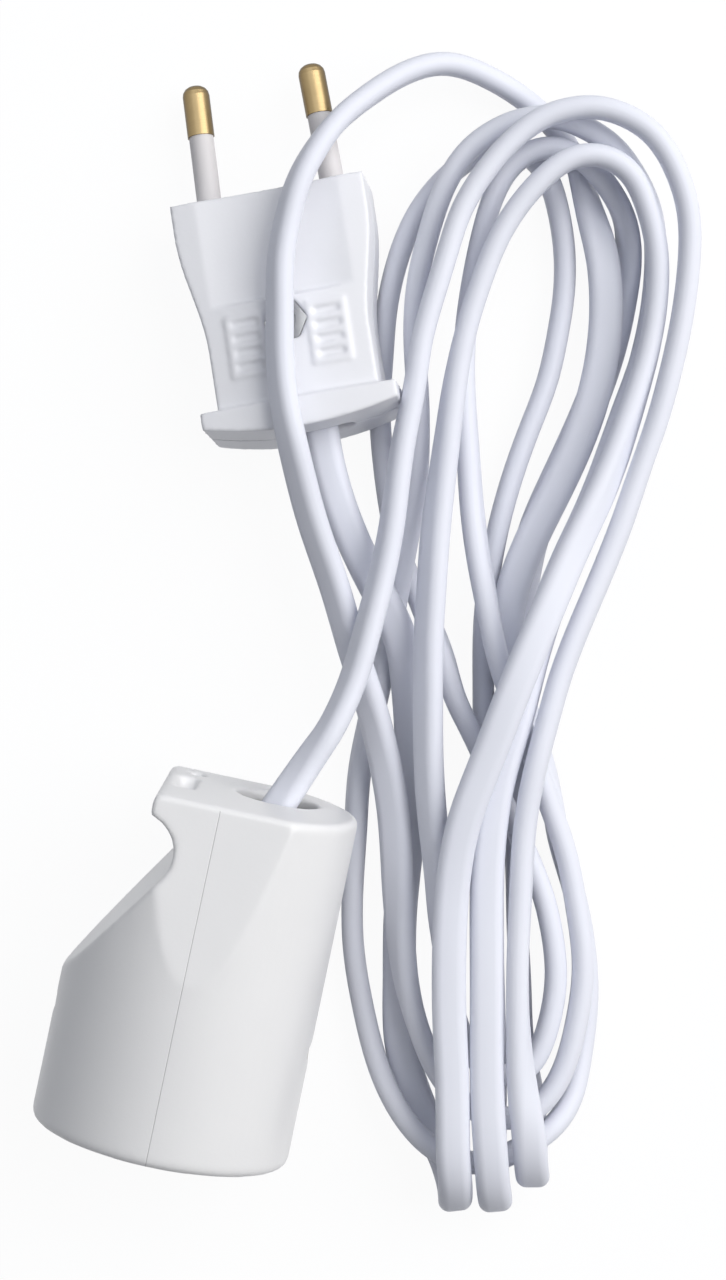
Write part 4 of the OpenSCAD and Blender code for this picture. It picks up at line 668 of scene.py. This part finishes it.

# %% [markdown]
# ## Which piece wears what
# One table pairs each finish with the pieces that are made of it. The hidden pieces get
# their real finish as well: brown and blue wires, dark fibre clamps, a tan contact block.
# The contact block's tan is darkened as painted shade, where it shows through the socket's
# hole.

# %% Dress the frame's pieces
EDGE_SHELL, EDGE_INNER = 0.6 * MM, 0.3 * MM
FINISHES = [
    (plastic("plug_shell", (0.80, 0.805, 0.845), (0.85, 0.855, 0.885), (0.40, 0.50),
             edge=EDGE_SHELL),
     ["plug_upper_shell", "plug_lower_shell"]),
    (plastic("socket_shell", (0.80, 0.80, 0.81), (0.85, 0.85, 0.855), (0.32, 0.40),
             edge=EDGE_SHELL, mould_line=True),
     ["socket_body"]),
    (plastic("inner_plastic", (0.66, 0.66, 0.67), (0.72, 0.72, 0.72), (0.4, 0.5),
             edge=EDGE_INNER),
     ["socket_face", "shutter"]),
    # Tan plastic, darkened as painted shade inside the socket's hole.
    (plastic("block_plastic", (0.26, 0.22, 0.16), (0.33, 0.28, 0.21), (0.5, 0.6),
             edge=EDGE_INNER),
     ["contact_carrier"]),
    (plastic("sleeve_plastic", (0.68, 0.655, 0.66), (0.73, 0.71, 0.715), (0.5, 0.6)),
     ["pin_sleeve_left", "pin_sleeve_right"]),
    (plastic("clamp_fibre", (0.05, 0.05, 0.055), (0.09, 0.09, 0.09), (0.6, 0.7)),
     ["socket_cord_clamp", "plug_cord_clamp"]),
    (plastic("core_brown", (0.11, 0.045, 0.02), (0.15, 0.06, 0.03), (0.35, 0.45)),
     ["socket_core_brown", "plug_core_brown"]),
    (plastic("core_blue", (0.02, 0.12, 0.42), (0.03, 0.16, 0.5), (0.35, 0.45)),
     ["socket_core_blue", "plug_core_blue"]),
    (brass("pin_brass"),
     ["plug_pin_left", "plug_pin_right", "contact_left", "contact_right"]),
    (steel("screw_steel", 0.42),
     ["socket_terminal_screws", "socket_clamp_screws", "plug_terminal_screws",
      "plug_clamp_screws", "plug_assembly_screw", "plug_assembly_nut"]),
    (steel("spring_steel", 0.3),
     ["shutter_spring"]),
]
for finish, names in FINISHES:
    for name in names:
        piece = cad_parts[name]
        piece.data.materials.clear()
        piece.data.materials.append(finish)
print("finishes:", len(FINISHES), "pieces dressed:", sum(len(names) for _, names in FINISHES))

# %% [markdown]
# ## Moulded edges
# A mould can't make a sharp edge, and the frame's shells have only sharp ones. A Bevel
# modifier stumbles over their many small triangles. A fine voxel skin, smoothed a little,
# rounds every edge and softens the plug's grips alike. The triangles of a frame piece are
# loose, so they are welded first. The voxels are as fine as the triangle count allows.

# %% Round the shells
WELD_DISTANCE = 0.002 * MM
SMOOTH_PASSES = 3
VOXELS = {"plug_upper_shell": 0.27 * MM, "plug_lower_shell": 0.27 * MM, "socket_body": 0.46 * MM}


def round_edges(name, voxel):
    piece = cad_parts[name]
    weld = piece.modifiers.new("weld", "WELD")
    weld.merge_threshold = WELD_DISTANCE
    skin = piece.modifiers.new("skin", "REMESH")
    skin.mode = "VOXEL"
    skin.voxel_size = voxel
    skin.use_smooth_shade = True
    soft = piece.modifiers.new("soft", "SMOOTH")
    soft.factor = 0.5
    soft.iterations = SMOOTH_PASSES


for name, voxel in VOXELS.items():
    round_edges(name, voxel)
print("rounded:", list(VOXELS))

# %% [markdown]
# ## White around the object
# The surroundings have two jobs. To the eye, and in what the brass mirrors, they are plain
# white. As a source of light they are much weaker, or the white plastic would lose its
# shading. The Light Path node tells the two kinds of ray apart.

# %% World
WORLD_TINT, WORLD_LIGHT = (0.93, 0.95, 1.0, 1), 0.16
WHITE = (1, 1, 1, 1)
scene = bpy.context.scene
scene.view_settings.view_transform = "Standard"
scene.view_settings.look = "None"


def seen_directly(nt):
    """1 for camera, mirror and glass rays, and 0 for the rays that carry light."""
    ray = nt.nodes.new("ShaderNodeLightPath")
    seen = math_node(nt, "MAXIMUM", ray.outputs["Is Camera Ray"], ray.outputs["Is Glossy Ray"])
    return math_node(nt, "MAXIMUM", seen, ray.outputs["Is Transmission Ray"])


world = bpy.data.worlds.new("world")
world.use_nodes = True
scene.world = world
nt = world.node_tree
glow = nt.nodes["Background"]
glow.inputs["Color"].default_value = WORLD_TINT
glow.inputs["Strength"].default_value = WORLD_LIGHT
white = nt.nodes.new("ShaderNodeBackground")
white.inputs["Color"].default_value = WHITE
white.inputs["Strength"].default_value = 1.0
mix = nt.nodes.new("ShaderNodeMixShader")
nt.links.new(seen_directly(nt), mix.inputs["Fac"])
nt.links.new(glow.outputs["Background"], mix.inputs[1])
nt.links.new(white.outputs["Background"], mix.inputs[2])
nt.links.new(mix.outputs["Shader"], nt.nodes["World Output"].inputs["Surface"])
print("world light:", WORLD_LIGHT)

# %% [markdown]
# ## Lamps
# White on white lives by its shading. One broad lamp from the right and from the top of the
# view leaves the left sides grey, and a weaker, cooler one from above keeps them readable.

# %% Lamps
LAMP_AIM = (0, 0, 0.01)


def area_light(name, at, size, power, colour):
    """A square lamp; its place is in the layout frame, in metres, and it faces the coil."""
    data = bpy.data.lights.new(name, "AREA")
    data.shape = "RECTANGLE"
    data.size = data.size_y = size
    data.energy = power
    data.color = colour
    lamp = bpy.data.objects.new(name, data)
    scene.collection.objects.link(lamp)
    lamp.location = IN_LAYOUT @ Vector(at)
    aim = IN_LAYOUT @ Vector(LAMP_AIM)
    lamp.rotation_euler = (aim - lamp.location).to_track_quat("-Z", "Y").to_euler()


area_light("key", (0.60, 0.28, 0.72), 1.0, 11.0, (1, 0.99, 0.975))
area_light("fill", (-0.25, 0.5, 0.8), 0.8, 1.7, (0.86, 0.91, 1))
print("lamps:", [lamp.name for lamp in bpy.data.lights])

# %% [markdown]
# ## The table
# It is white to the eye like the rest. A small share of its real, shaded surface is mixed
# in, so that the object keeps a faint shadow and doesn't float.

# %% Table
FLOOR_HALF = 1.6
FLOOR_DROP = 0.4 * MM
FLOOR_SHARE = 0.88
FLOOR_GLOW = 1.07
FLOOR_DARK, FLOOR_LIGHT = (0.48, 0.49, 0.52), (0.51, 0.52, 0.55)
floor_mesh = bpy.data.meshes.new("floor")
bm = bmesh.new()
bmesh.ops.create_grid(bm, x_segments=2, y_segments=2, size=FLOOR_HALF)
bm.to_mesh(floor_mesh)
bm.free()
floor = bpy.data.objects.new("floor", floor_mesh)
scene.collection.objects.link(floor)
floor.location = (0, 0, -FLOOR_DROP)
print("table size, m:", 2 * FLOOR_HALF)

# %% Table surface
table_white, nt, p = new_material("floor_white")
p.inputs["Roughness"].default_value = 0.9
cloudy = nt.nodes.new("ShaderNodeTexNoise")
cloudy.inputs["Scale"].default_value = 3
cloudy.inputs["Detail"].default_value = 2
tc = nt.nodes.new("ShaderNodeTexCoord")
nt.links.new(tc.outputs["Object"], cloudy.inputs["Vector"])
nt.links.new(blend(nt, cloudy.outputs["Fac"], FLOOR_DARK, FLOOR_LIGHT), p.inputs["Base Color"])
lit = nt.nodes.new("ShaderNodeEmission")
lit.inputs["Color"].default_value = WHITE
lit.inputs["Strength"].default_value = FLOOR_GLOW
mix = nt.nodes.new("ShaderNodeMixShader")
nt.links.new(math_node(nt, "MULTIPLY", seen_directly(nt), FLOOR_SHARE), mix.inputs["Fac"])
nt.links.new(p.outputs["BSDF"], mix.inputs[1])
nt.links.new(lit.outputs["Emission"], mix.inputs[2])
nt.links.new(mix.outputs["Shader"], nt.nodes["Material Output"].inputs["Surface"])
floor.data.materials.append(table_white)
print("table wears", table_white.name)
